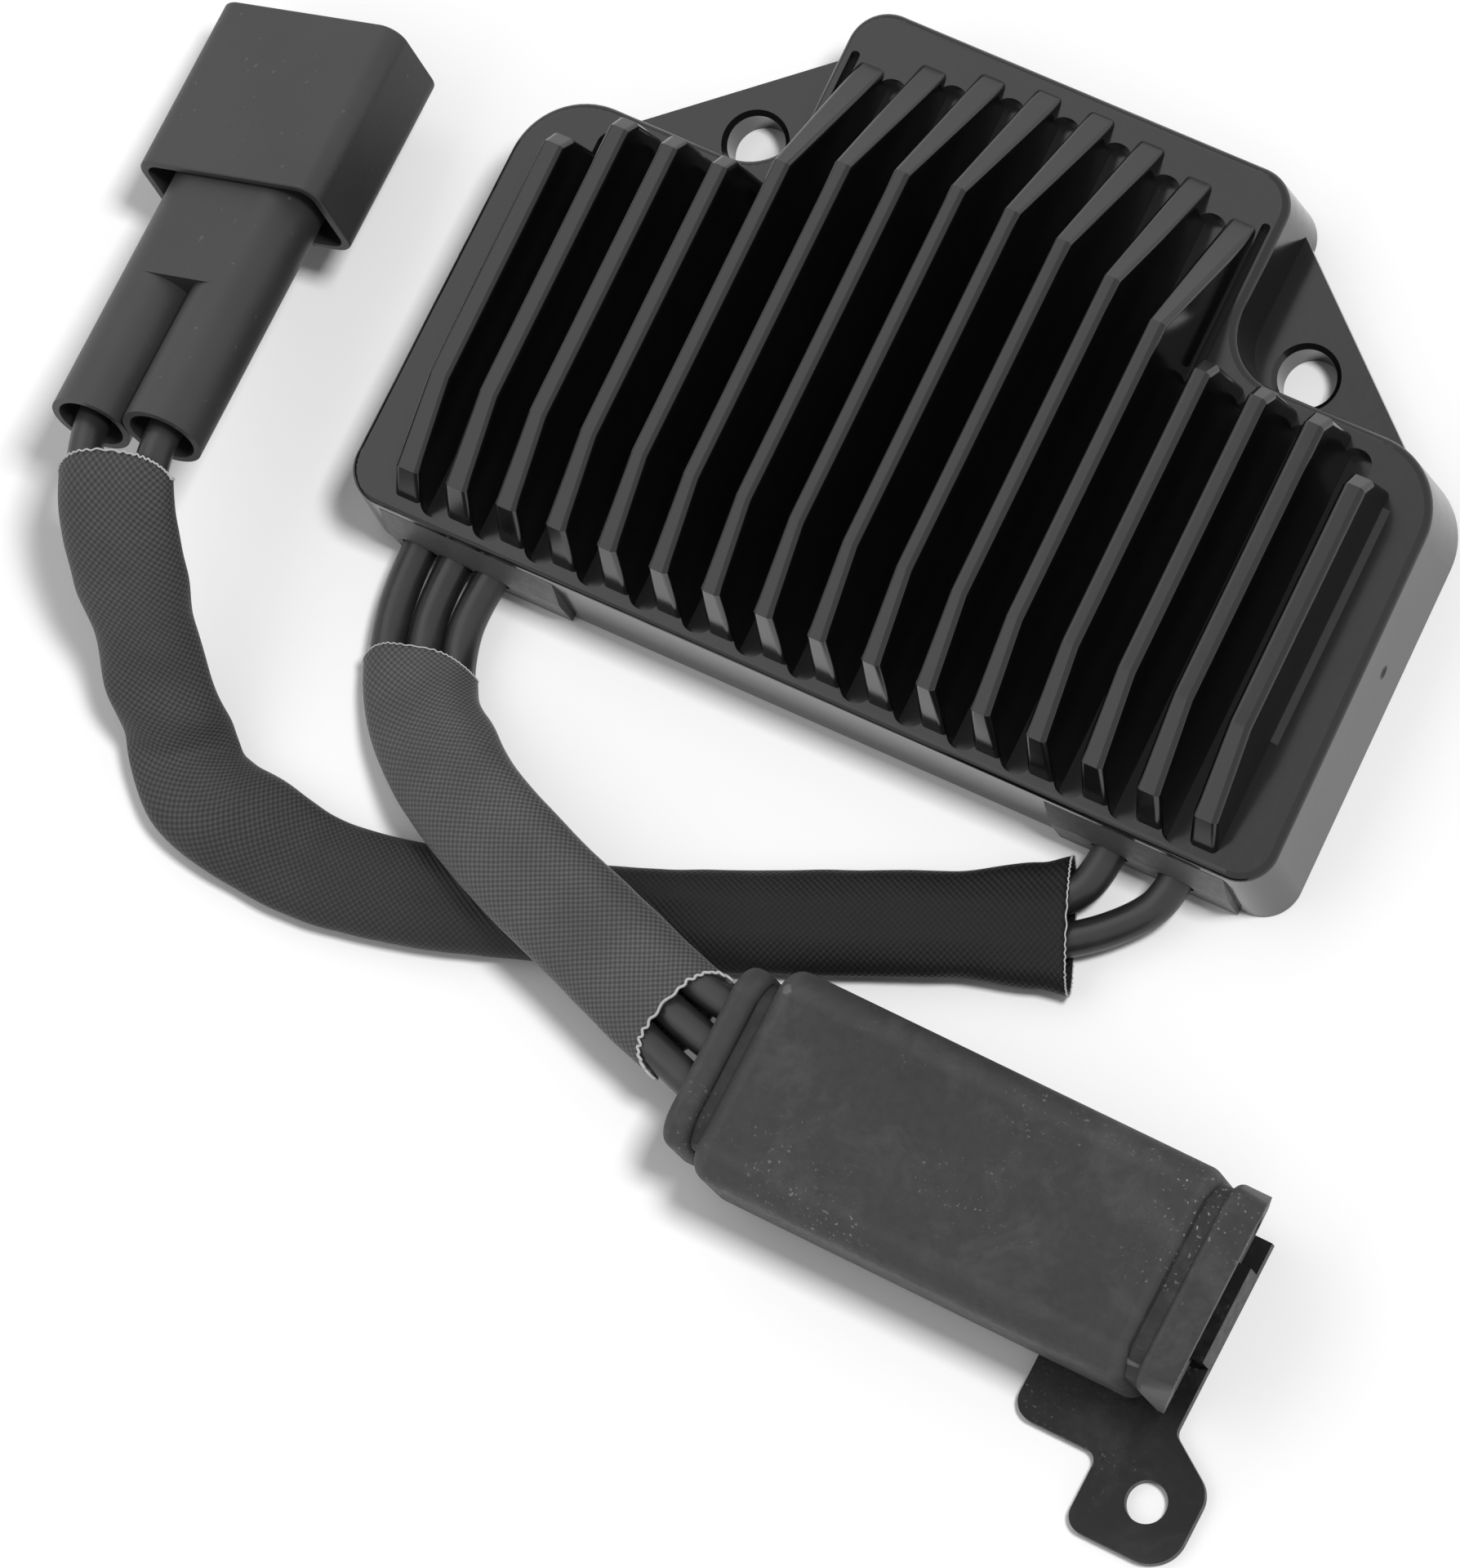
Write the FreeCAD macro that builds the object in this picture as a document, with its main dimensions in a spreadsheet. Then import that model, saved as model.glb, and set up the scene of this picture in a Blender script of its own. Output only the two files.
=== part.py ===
import FreeCAD, Part
import math
import os
import Sketcher

# Three-phase voltage regulator rectifier with its two wire tails.
# Millimetres, +Z up, +X along the long side towards the output wires,
# +Y from the wire side to the narrow rear block. The origin is under the
# middle of the regulator body, on the surface that it stands on.

Vec = FreeCAD.Vector
doc = FreeCAD.newDocument("regulator_rectifier")
sheet = doc.addObject("Spreadsheet::Sheet", "Sizes")
row_count = 0


class Q:
    """A number together with the sheet formula that gives it."""

    def __init__(self, value, text):
        self.value = float(value)
        self.text = text

    def __add__(self, other):
        o = as_q(other)
        return Q(self.value + o.value, "(" + self.text + " + " + o.text + ")")

    def __radd__(self, other):
        return as_q(other) + self

    def __sub__(self, other):
        o = as_q(other)
        return Q(self.value - o.value, "(" + self.text + " - " + o.text + ")")

    def __rsub__(self, other):
        return as_q(other) - self

    def __mul__(self, other):
        o = as_q(other)
        return Q(self.value * o.value, "(" + self.text + " * " + o.text + ")")

    def __rmul__(self, other):
        return as_q(other) * self

    def __truediv__(self, other):
        o = as_q(other)
        return Q(self.value / o.value, "(" + self.text + " / " + o.text + ")")

    def __neg__(self):
        return Q(-self.value, "(-1 * " + self.text + ")")


def as_q(item):
    if isinstance(item, Q):
        return item
    return Q(item, "%.6f" % float(item))


def num(item):
    return item.value if isinstance(item, Q) else float(item)


def cell(alias, value, note):
    """One driving size: its value in column A, its meaning in column B."""
    global row_count
    row_count += 1
    sheet.set("A%d" % row_count, "%g" % value)
    sheet.setAlias("A%d" % row_count, alias)
    sheet.set("B%d" % row_count, "'" + note)
    return Q(value, "Sizes." + alias)


def bind(item, prop, value):
    if isinstance(value, Q):
        item.setExpression(prop, value.text)
    else:
        item.setExpression(prop, None)


# The body's sizes, measured in its own top view.
body_width = cell("body_width", 120.0, "width of the wide block at its top")
wide_depth = cell("wide_depth", 53.7, "depth of the wide block at its top")
full_depth = cell("full_depth", 77.0, "depth over both blocks at the top")
rear_width = cell("rear_width", 56.8, "width of the narrow rear block")
land_z = cell("land_height", 15.4, "height of the flat land round the fins")
wall_draft = cell("wall_draft", 2.3, "mould draft of the walls, degrees")
draft_run = cell("draft_run", 0.6, "how far the draft widens the foot")
side_taper = cell("side_taper", 0.8, "how much narrower the wide block is behind")
centre_y = cell("centre_shift", 38.2, "from the front edge to the origin")
ear_z = cell("ear_thickness", 5.4, "thickness of the two bolt ears")
ear_side = cell("ear_side", 3.8, "ear plate starts inside the block's side")
ear_out_x = body_width / 2 - ear_side
ear_in = cell("ear_rear_in", 3.4, "its rear corner inside the rear block")
ear_in_x = rear_width / 2 - ear_in
ear_front_y = wide_depth - 3.7
ear_rear_y = full_depth - 0.5
hole_x = cell("bolt_half_spacing", 36.05, "bolt holes from the middle")
hole_back = cell("bolt_behind_block", 4.55, "bolt holes behind the wide block")
hole_y = wide_depth + hole_back
hole_d = cell("bolt_hole_dia", 7.0, "clear hole for an M6 bolt")
hole_mouth = cell("bolt_mouth_dia", 8.2, "bevelled mouth of the bolt hole")
fin_margin = cell("fin_margin", 16.65, "body width that the fin row leaves free")
fin_pitch = (body_width - fin_margin) / 15
fin_floor = cell("channel_floor", 12.5, "floor of the channels")
fin_base = cell("fin_foot_width", 3.8, "fin thickness at the channel floor")
fin_tip = cell("fin_tip_width", 2.1, "thickness of the middle fins at the top")
fin_top = cell("fin_top_height", 31.95, "top of a fin on the centre line")
fin_nose = cell("fin_nose_height", 27.4, "front corner of that fin")
crown = cell("fin_crown", 6.9, "drop of the fin tops at 51 mm out")
nose_y = cell("fin_nose_depth", 4.3, "fin front corner from the front")
toe_y = cell("fin_toe_depth", 1.9, "fin foot from the front")
channel_front = cell("channel_front", 1.1, "front end of the channels")
bend_y = cell("fin_bend_depth", 15.2, "where the top stops rising")
rear_slope = cell("fin_rear_slope", 19.1, "rear slope starts before the rear edge")
rear_bend_y = full_depth - rear_slope
rear_bend_arc = cell("fin_rear_bend_arc", 5.0, "its set back 24 mm out")
rear_land = cell("rear_land", 1.7, "land behind the middle fins")
rear_end_y = full_depth - rear_land
rear_end_arc = cell("fin_rear_end_arc", 5.0, "its set back 24 mm out")
side_land = cell("side_land", 1.3, "land behind the shoulder fins")
side_end_y = wide_depth - side_land
tip_round = cell("fin_tip_round", 0.7, "rounding of the fin tops")
foot_round = cell("fin_foot_round", 1.1, "sloped foot outside the last fins")
slot_width = fin_pitch - fin_base + 0.9
cavity_z = cell("cavity_height", 9.0, "ceiling of the hollow underside")
side_wall = cell("side_wall", 2.7, "side wall of the hollow")
cavity_half = body_width / 2 - side_wall
cavity_front = cell("cavity_front", 2.9, "front wall thickness")
cavity_back = wide_depth - 2.9
rear_half = rear_width / 2 - 3.0
rear_back = full_depth - 3.0
dam_side = cell("dam_side", 5.0, "wire openings from the body's side")
dam_width = cell("dam_width", 23.0, "width of a wire opening")
dam_out = body_width / 2 - dam_side
dam_in = dam_out - dam_width
dam_z = cell("dam_height", 13.3, "height of the rubber dam")
dam_plug_z = cell("dam_plug_height", 8.8, "height of its plug in the wall")
potting_low = cell("potting_level", 0.4, "underside of the potting")
wire_d = cell("wire_dia", 4.2, "outside of each lead")
board_low = cell("board_low", 2.2, "underside of the circuit board")
board_t = cell("board_thickness", 1.6, "circuit board")
pad_t = cell("pad_thickness", 0.3, "heat pad on the ceiling")
boot_long = cell("boot_length", 68.0, "rubber boot, end to end")
boot_half_w = cell("boot_half_width", 13.3, "half width of its box")
boot_half_t = cell("boot_half_height", 9.5, "half height of its box")
boot_mid_z = cell("boot_centre_height", 11.0, "centre of the boot")
plate_t = cell("bracket_thickness", 1.5, "sheet of the bracket")
bracket_hole = cell("bracket_hole_dia", 5.0, "screw hole of the bracket")
barrel_d = cell("barrel_dia", 10.0, "each round barrel, output plug")
barrel_bore = cell("barrel_bore", 8.2, "inside of a barrel")
barrel_pitch = cell("barrel_pitch", 10.2, "between the two barrels")
hood_w = cell("hood_width", 26.0, "hood of the output plug, width")
hood_t = cell("hood_thickness", 13.0, "hood, thickness")
hood_l = cell("hood_length", 23.6, "hood, length")
body_to_hood = cell("plug_to_hood", 32.0, "from the barrel ends to the hood")
hood_room_x = cell("hood_room_half_width", 11.9, "half width inside the hood")
hood_room_z = cell("hood_room_half_height", 5.6, "half height inside the hood")
body_len = cell("plug_body_length", 44.0, "body of the output plug")
blade_half = cell("blade_half_width", 3.15, "half width of each contact blade")
blade_end = cell("blade_end", 47.5, "end of the blades in the hood")
stator_pitch = cell("stator_pitch", 6.6, "between the three stator contacts")
case_from = cell("case_start", 22.0, "stator plug body starts in the boot")
case_to = cell("case_end", 60.0, "stator plug body ends in the boot")
case_half = cell("case_half_width", 10.6, "half width of that body")
boot_room = cell("boot_room_half", 10.9, "half width inside the boot")
lead_room = cell("boot_lead_way", 8.9, "half width of the boot's lead way")
plate_x0 = cell("bracket_near", 47.2, "near edge of the bracket plate")
plate_x1 = cell("bracket_far", 65.5, "far edge of the bracket plate")
plate_y1 = cell("bracket_side", 10.0, "side edge under the boot")
plate_y0 = cell("bracket_other_side", -20.2, "side edge beside the boot")
lug_x0 = cell("lug_near", 58.6, "near edge of the bracket's lug")
lug_x1 = cell("lug_far", 72.1, "far edge of the bracket's lug")
lug_y = cell("lug_end", -29.1, "end of the bracket's lug")
screw_x = cell("bracket_screw_along", 66.1, "screw hole along the boot")
screw_y = cell("bracket_screw_side", -22.6, "screw hole beside the boot")
sleeve_t = cell("sleeve_half_thickness", 2.85, "half thickness of a sleeve")
sleeve_wall = cell("sleeve_wall", 0.45, "braid of a sleeve")
board_margin = cell("board_margin", 7.3, "board end from the hollow's side")
board_half = cavity_half - board_margin
board_front = cell("board_front", 7.0, "front edge of the board")
board_back = cavity_back - 3.8
device_margin = cell("device_margin", 19.8, "last power device from that side")
device_pitch = (cavity_half - device_margin) / 2.5
device_half = cell("device_half_width", 5.1, "half width of a power device")
device_t = cell("device_thickness", 4.4, "thickness of its case")
tab_t = cell("device_tab", 1.3, "thickness of its metal tab")
can_d = cell("capacitor_dia", 7.6, "capacitor can")
can_l = cell("capacitor_length", 12.0, "capacitor can")
doc.recompute()

PLANES = {"XY": "XY_Plane", "XZ": "XZ_Plane", "YZ": "YZ_Plane"}


def plane_of(body, key):
    for item in body.Origin.OriginFeatures:
        if item.Role == PLANES[key]:
            return item
    raise RuntimeError("no plane " + key)


def new_sketch(body, name, key, offset):
    sketch = body.newObject("Sketcher::SketchObject", name)
    sketch.AttachmentSupport = [(plane_of(body, key), "")]
    sketch.MapMode = "FlatFace"
    if offset is not None:
        sketch.AttachmentOffset = FreeCAD.Placement(Vec(0, 0, num(offset)), FreeCAD.Rotation())
        if isinstance(offset, Q):
            sketch.setExpression("AttachmentOffset.Base.z", offset.text)
    return sketch


def fix_point(sketch, geo, pos, x, y):
    """Ties one sketch point to the origin by two sizes."""
    for kind, axis, value in (("DistanceX", -2, x), ("DistanceY", -1, y)):
        if not isinstance(value, Q) and abs(float(value)) < 1e-9:
            sketch.addConstraint(Sketcher.Constraint("PointOnObject", geo, pos, axis))
            continue
        index = sketch.addConstraint(Sketcher.Constraint(kind, -1, 1, geo, pos, num(value)))
        if isinstance(value, Q):
            sketch.setExpression("Constraints[%d]" % index, value.text)


def polygon(sketch, points):
    count = len(points)
    spots = [Vec(num(p[0]), num(p[1]), 0) for p in points]
    first = sketch.GeometryCount
    for i in range(count):
        sketch.addGeometry(Part.LineSegment(spots[i], spots[(i + 1) % count]), False)
    for i in range(count):
        nxt = (i + 1) % count
        sketch.addConstraint(Sketcher.Constraint("Coincident", first + i, 2, first + nxt, 1))
    for i in range(count):
        fix_point(sketch, first + i, 1, points[i][0], points[i][1])


def circle(sketch, x, y, diameter):
    geo = sketch.addGeometry(Part.Circle(Vec(num(x), num(y), 0), Vec(0, 0, 1), num(diameter) / 2), False)
    fix_point(sketch, geo, 3, x, y)
    index = sketch.addConstraint(Sketcher.Constraint("Diameter", geo, num(diameter)))
    if isinstance(diameter, Q):
        sketch.setExpression("Constraints[%d]" % index, diameter.text)


def set_place(item, x, y, z, rotation=None):
    turn = rotation if rotation is not None else FreeCAD.Rotation()
    item.Placement = FreeCAD.Placement(Vec(num(x), num(y), num(z)), turn)
    for axis, value in (("x", x), ("y", y), ("z", z)):
        if isinstance(value, Q):
            item.setExpression("Placement.Base." + axis, value.text)


def new_body(name):
    return doc.addObject("PartDesign::Body", name)


def pad(body, name, key, points, length, offset=None, side="One side", reverse=False, taper=None,
        kind="PartDesign::Pad"):
    """A sketch polygon in one plane of the body, grown or cut by a length."""
    sketch = new_sketch(body, name + "_outline", key, offset)
    if isinstance(points, tuple):
        circle(sketch, points[0], points[1], points[2])
    else:
        polygon(sketch, points)
    feature = body.newObject(kind, name)
    feature.Profile = sketch
    feature.SideType = side
    feature.Reversed = reverse
    feature.Length = num(length)
    bind(feature, "Length", length)
    if taper is not None:
        feature.TaperAngle = num(taper)
        bind(feature, "TaperAngle", taper)
    sketch.Visibility = False
    doc.recompute()
    return feature


def edges_where(shape, test):
    names = []
    for i, edge in enumerate(shape.Edges):
        if test(edge):
            names.append("Edge%d" % (i + 1))
    return names


def fillet(body, name, test, radius, kind="PartDesign::Fillet"):
    base = body.Tip
    names = edges_where(base.Shape, test)
    if not names:
        raise RuntimeError("no edge for " + name)
    feature = body.newObject(kind, name)
    feature.Base = (base, names)
    if kind == "PartDesign::Fillet":
        feature.Radius = num(radius)
        bind(feature, "Radius", radius)
    else:
        feature.Size = num(radius)
        bind(feature, "Size", radius)
    doc.recompute()
    if "Invalid" in feature.State or feature.Shape.isNull():
        raise RuntimeError("fillet failed: " + name)
    return feature


def rectangle(x0, x1, y0, y1):
    return [(x0, y0), (x1, y0), (x1, y1), (x0, y1)]


def block(name, x0, x1, y0, y1, z0, z1):
    """A plain box as a body: outline in plan, grown upwards."""
    body = new_body(name)
    pad(body, name + "_pad", "XY", rectangle(x0, x1, y0, y1), as_q(z1) - as_q(z0), offset=z0)
    return body


def rod(name, key, u, v, diameter, length, offset=None, reverse=False):
    body = new_body(name)
    pad(body, name + "_pad", key, (u, v, diameter), length, offset=offset, reverse=reverse)
    return body


def cut(name, base, tools):
    tool = tools[0]
    if len(tools) > 1:
        tool = doc.addObject("Part::MultiFuse", name + "_tools")
        tool.Shapes = tools
    feature = doc.addObject("Part::Cut", name)
    feature.Base = base
    feature.Tool = tool
    doc.recompute()
    return feature


def fuse(name, parts):
    feature = doc.addObject("Part::MultiFuse", name)
    feature.Shapes = parts
    doc.recompute()
    return feature


def upright(edge, x, y, reach):
    """True for a nearly upright edge whose foot is near (x, y)."""
    if len(edge.Vertexes) != 2:
        return False
    a = edge.Vertexes[0].Point
    b = edge.Vertexes[1].Point
    if abs(a.z - b.z) < 1.0:
        return False
    if math.hypot(a.x - b.x, a.y - b.y) > 0.3 * abs(a.z - b.z):
        return False
    mid = (a + b) * 0.5
    return math.hypot(abs(mid.x) - x, mid.y - y) < reach


pieces = {}


def keep(item, label):
    item.Label = label
    pieces[label] = item
    return item


# The cast housing. Its blocks are drawn at the foot and narrow upwards.
half_w = body_width / 2 + draft_run
half_r = rear_width / 2 + draft_run
foot_front = -draft_run - centre_y
foot_wide = wide_depth + draft_run - centre_y
foot_rear = full_depth + draft_run - centre_y
blocks = new_body("housing_blocks")
outline = [
    (-half_w, foot_front), (half_w, foot_front), (half_w - side_taper, foot_wide), (half_r, foot_wide),
    (half_r, foot_rear), (-half_r, foot_rear), (-half_r, foot_wide), (side_taper - half_w, foot_wide)]
pad(blocks, "housing_block", "XY", outline, land_z, taper=-wall_draft)
shift = centre_y.value
side_at = half_w.value - 0.3
inner_at = half_r.value - 0.3
wide_at = foot_wide.value - 0.3
rear_at = foot_rear.value - 0.3
fillet(blocks, "front_corners", lambda e: upright(e, side_at, 0.3 + foot_front.value, 2.5), 4.6)
fillet(blocks, "shoulder_corners", lambda e: upright(e, side_at - side_taper.value, wide_at, 2.5), 9.2)
fillet(blocks, "rear_corners", lambda e: upright(e, inner_at, rear_at, 2.5), 4.8)
fillet(blocks, "inner_corners", lambda e: upright(e, inner_at, wide_at, 2.5), 7.0)


def on_top_rim(edge):
    box = edge.BoundBox
    return abs(box.ZMin - land_z.value) < 0.01 and abs(box.ZMax - land_z.value) < 0.01


fillet(blocks, "rim_round", on_top_rim, 0.9)

ears = new_body("bolt_ears")
pad(ears, "ear_plate", "XY", [
    (-ear_out_x, ear_front_y - centre_y), (ear_out_x, ear_front_y - centre_y),
    (ear_in_x, ear_rear_y - centre_y), (-ear_in_x, ear_rear_y - centre_y)], ear_z)

# A fin: its tapered section runs front to back, and what lies outside its
# side view is cut away. Then the edges of the top are rounded. The rear ends
# run on below the land, so that their rounding stops inside the block.
fins = []
fin_height = fin_top - fin_floor
section = [(-fin_base / 2, -1.5), (fin_base / 2, -1.5), (fin_base / 2, 0), (fin_tip / 2, fin_height),
           (-fin_tip / 2, fin_height), (-fin_base / 2, 0)]
for i in range(16):
    step = i - 7.5
    fin_x = fin_pitch * step
    drop = crown * (step * fin_pitch.value / 51.0) ** 2
    top = fin_top - drop - fin_floor
    nose = fin_nose - drop - fin_floor
    foot = land_z - fin_floor
    profile = [(toe_y - centre_y, -1.5), (toe_y - centre_y, foot), (nose_y - centre_y, nose),
               (bend_y - centre_y, top)]
    if 4 <= i <= 11:
        out = (step * fin_pitch.value / 24.0) ** 2
        profile.append((rear_bend_y - rear_bend_arc * out - centre_y, top))
        profile.append((rear_end_y - rear_end_arc * out - centre_y + 1.25, foot - 1.2))
        profile.append((rear_end_y - rear_end_arc * out - centre_y + 1.25, -1.5))
    else:
        back = side_end_y - centre_y
        if i in (0, 15):
            back = side_end_y - 4.4 - centre_y
        profile.append((back - 2.6, top))
        profile.append((back - 0.9, top - 2.4))
        profile.append((back + 0.13, foot - 1.2))
        profile.append((back + 0.13, -1.5))
    outside = profile + [(profile[-1][0] + 8, -1.5), (profile[-1][0] + 8, fin_height + 3),
                         (toe_y - centre_y - 8, fin_height + 3), (toe_y - centre_y - 8, -1.5)]
    body = new_body("fin_%d" % (i + 1))
    pad(body, "fin_bar_%d" % (i + 1), "XZ", section, profile[-1][0] - (toe_y - centre_y) + 2,
        offset=-(profile[-1][0] + 1))
    pad(body, "fin_side_%d" % (i + 1), "YZ", outside, 12.0, side="Symmetric", kind="PartDesign::Pocket")

    def blade_edge(edge):
        ends = [v.Point for v in edge.Vertexes]
        if len(ends) != 2:
            return False
        if max(p.z for p in ends) < foot.value + 1.0:
            return False
        return abs(ends[0].x - ends[1].x) < 0.8 * (edge.Length) and abs(
            ends[0].x) > 0.3 and ends[0].x * ends[1].x > 0

    fillet(body, "fin_round_%d" % (i + 1), blade_edge, tip_round)
    set_place(body, fin_x, 0, fin_floor)
    fins.append(body)
    if i in (0, 15):
        out = -1 if i == 0 else 1
        near = as_q(out) * (fin_base / 2 - 0.5)
        wide = as_q(out) * (fin_base / 2 + foot_round - 0.3)
        mid = as_q(out) * (fin_base / 2 + foot_round * 0.2 - 0.3)
        skirt = new_body("fin_skirt_%d" % (i + 1))
        pad(skirt, "fin_skirt_pad_%d" % (i + 1), "XZ", [
            (near, foot - 0.6), (wide, foot - 0.6), (wide, foot), (mid, foot + foot_round * 0.3),
            (mid - as_q(out) * 0.25, foot + foot_round), (near, foot + foot_round)],
            side_end_y - 7.4 - bend_y, offset=-(side_end_y - 6.4 - centre_y))
        set_place(skirt, fin_x, 0, fin_floor)
        fins.append(skirt)

slots = []
for i in range(15):
    step = i - 7
    x = fin_pitch * step
    if abs(step) <= 3:
        out = (step * fin_pitch.value / 24.0) ** 2
        end = rear_end_y - rear_end_arc * out - 1.9
    else:
        end = side_end_y - 1.2
    body = new_body("channel_%d" % (i + 1))
    half = slot_width / 2
    pad(body, "channel_cut_%d" % (i + 1), "XY", rectangle(
        -half, half, channel_front - centre_y, end - centre_y), 8.0)
    fillet(body, "channel_ends_%d" % (i + 1), lambda e: upright(
        e, slot_width.value / 2, e.Vertexes[0].Point.y, 0.5), 1.9)
    set_place(body, x, 0, fin_floor)
    slots.append(body)
for side in (-1, 1):
    body = new_body("side_groove_%d" % (1 if side < 0 else 2))
    pad(body, body.Name + "_cut", "XY", rectangle(
        -0.55, 0.55, wide_depth - 1.7 - centre_y, full_depth - 6.0 - centre_y), 8.0)
    fillet(body, body.Name + "_ends", lambda e: upright(e, 0.55, e.Vertexes[0].Point.y, 0.3), 0.5)
    set_place(body, as_q(side) * (rear_width / 2 - 1.75), 0, fin_floor + 0.8)
    slots.append(body)

solid_block = fuse("housing_solid", [blocks, ears])
channelled = cut("housing_channelled", solid_block, slots)
finned = fuse("housing_with_fins", [channelled] + fins)

hollow = new_body("underside_hollow")
pad(hollow, "hollow_pad", "XY", [
    (-cavity_half, cavity_front - centre_y), (cavity_half, cavity_front - centre_y),
    (cavity_half, cavity_back - centre_y), (rear_half, cavity_back - centre_y),
    (rear_half, rear_back - centre_y), (-rear_half, rear_back - centre_y),
    (-rear_half, cavity_back - centre_y), (-cavity_half, cavity_back - centre_y)], cavity_z + 1.0,
    offset=as_q(-1.0))
fillet(hollow, "hollow_corners", lambda e: upright(
    e, cavity_half.value, cavity_back.value - shift, 0.5), 6.5)
fillet(hollow, "hollow_rear", lambda e: upright(e, rear_half.value, rear_back.value - shift, 0.5), 3.0)
cutters = [hollow]
for side in (-1, 1):
    tag = "left" if side < 0 else "right"
    near = dam_in if side > 0 else -dam_out
    far = dam_out if side > 0 else -dam_in
    cutters.append(block("recess_" + tag, near, far, -3.0 - centre_y, 1.4 - centre_y, -1.0, dam_z + 0.1))
    cutters.append(block("opening_" + tag, near + 1.0, far - 1.0, -3.0 - centre_y, 3.4 - centre_y, -1.0,
                         dam_plug_z + 0.1))
    hole = doc.addObject("Part::Cylinder", "bolt_hole_" + tag)
    hole.Radius = hole_d.value / 2
    bind(hole, "Radius", hole_d / 2)
    hole.Height = 20
    set_place(hole, as_q(side) * hole_x, hole_y - centre_y, -5)
    cutters.append(hole)
    mouth = doc.addObject("Part::Cone", "bolt_mouth_" + tag)
    mouth.Radius1 = hole_d.value / 2
    mouth.Radius2 = hole_mouth.value / 2 + 0.6
    bind(mouth, "Radius1", hole_d / 2)
    bind(mouth, "Radius2", hole_mouth / 2 + 0.6)
    mouth.Height = 1.2
    set_place(mouth, as_q(side) * hole_x, hole_y - centre_y, ear_z - 0.6)
    cutters.append(mouth)
dimple = doc.addObject("Part::Sphere", "wall_dimple")
dimple.Radius = 1.6
set_place(dimple, half_w + 0.55, 30.0 - centre_y, 7.6)
cutters.append(dimple)
housing = cut("housing_final", finned, cutters)
keep(housing, "finned_housing")

# The two rubber dams that close the wire openings, each with its wire bores.
dams = {}
wire_shift = body_width / 2 - 60
stator_wires = (-51.3 - wire_shift, -46.5 - wire_shift, -41.7 - wire_shift)
output_wires = (39.3 + wire_shift, 47.8 + wire_shift)
for side, tag, wires in ((-1, "stator", stator_wires), (1, "output", output_wires)):
    near = dam_in if side > 0 else -dam_out
    far = dam_out if side > 0 else -dam_in
    face = new_body("dam_face_" + tag)
    pad(face, "dam_face_pad_" + tag, "YZ", [
        (-1.2 - centre_y, 0), (1.35 - centre_y, 0), (1.35 - centre_y, dam_z), (-0.1 - centre_y, dam_z),
        (-1.2 - centre_y, 6.9)], far - near - 0.1, offset=near + 0.05)
    plug = block("dam_plug_" + tag, near + 1.05, far - 1.05, 1.0 - centre_y, 3.35 - centre_y, 0.0,
                 dam_plug_z)
    bores = []
    for k, x in enumerate(wires):
        bores.append(rod("dam_bore_%s_%d" % (tag, k + 1), "XZ", x, 4.4, wire_d + 0.4, 4.0,
                         offset=-(0.8 - centre_y)))
    body = fuse("dam_solid_" + tag, [face, plug])
    dams[tag] = cut("dam_" + tag, body, bores)
    keep(dams[tag], "wire_dam_" + tag)

# What is sealed inside: heat pad, power devices, board and small parts.
ceiling = cavity_z
pad_half = cavity_half - 11.3
pad_body = block("heat_pad", -pad_half, pad_half, 8.0 - centre_y, 33.0 - centre_y, ceiling - pad_t, ceiling)
keep(pad_body, "heat_pad")
device_z = ceiling - pad_t
devices = []
for k in range(6):
    x = device_pitch * (k - 2.5)
    name = ("thyristor_%d" % (k + 1)) if k < 3 else ("diode_%d" % (k - 2))
    parts = [
        block(name + "_case", x - device_half, x + device_half, 17.0 - centre_y, 26.0 - centre_y,
              device_z - device_t, device_z),
        block(name + "_tab", x - device_half, x + device_half, 10.5 - centre_y, 17.0 - centre_y,
              device_z - tab_t, device_z)]
    for lead in (-2.54, 0.0, 2.54):
        lx = x + lead
        tag = "%s_lead_%d" % (name, int(lead * 100) + 300)
        parts.append(block(tag, lx - 0.4, lx + 0.4, 26.0 - centre_y, 29.0 - centre_y, device_z - 2.9,
                           device_z - 2.4))
        parts.append(block(tag + "_foot", lx - 0.4, lx + 0.4, 28.5 - centre_y, 29.0 - centre_y,
                           board_low + board_t, device_z - 2.4))
    item = fuse(name + "_solid", parts)
    devices.append(item)
    keep(item, name)
board = block("board", -board_half, board_half, board_front - centre_y, board_back - centre_y, board_low,
              board_low + board_t)
keep(board, "circuit_board")
can_at = cavity_back + 10.2 - centre_y
foot_at = board_back - 3.0 - centre_y
can = rod("capacitor_can", "YZ", can_at, 4.9, can_d, can_l, offset=-can_l / 2)
can_leads = [
    block("capacitor_lead_a", 6.0, 7.6, can_at - 1.2, can_at - 0.7, 4.6, 5.1),
    block("capacitor_run_a", 7.2, 7.6, foot_at, can_at - 0.7, 4.6, 5.1),
    block("capacitor_foot_a", 7.2, 7.6, foot_at, foot_at + 0.5, board_low + board_t, 4.7),
    block("capacitor_lead_b", 6.0, 10.1, can_at + 1.0, can_at + 1.5, 4.6, 5.1),
    block("capacitor_run_b", 9.7, 10.1, foot_at, can_at + 1.5, 4.6, 5.1),
    block("capacitor_foot_b", 9.7, 10.1, foot_at, foot_at + 0.5, board_low + board_t, 4.7)]
capacitor = fuse("capacitor_solid", [can] + can_leads)
keep(capacitor, "filter_capacitor")
chip_at = board_back - 11.0 - centre_y
chip = block("chip", -25.0, -15.0, chip_at, chip_at + 6.0, board_low + board_t,
             board_low + board_t + 1.6)
keep(chip, "control_chip")
resistor_a = block("resistor_a", 18.0, 24.4, chip_at + 1.0, chip_at + 4.2, board_low + board_t,
                   board_low + board_t + 0.7)
keep(resistor_a, "sense_resistor_1")
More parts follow.
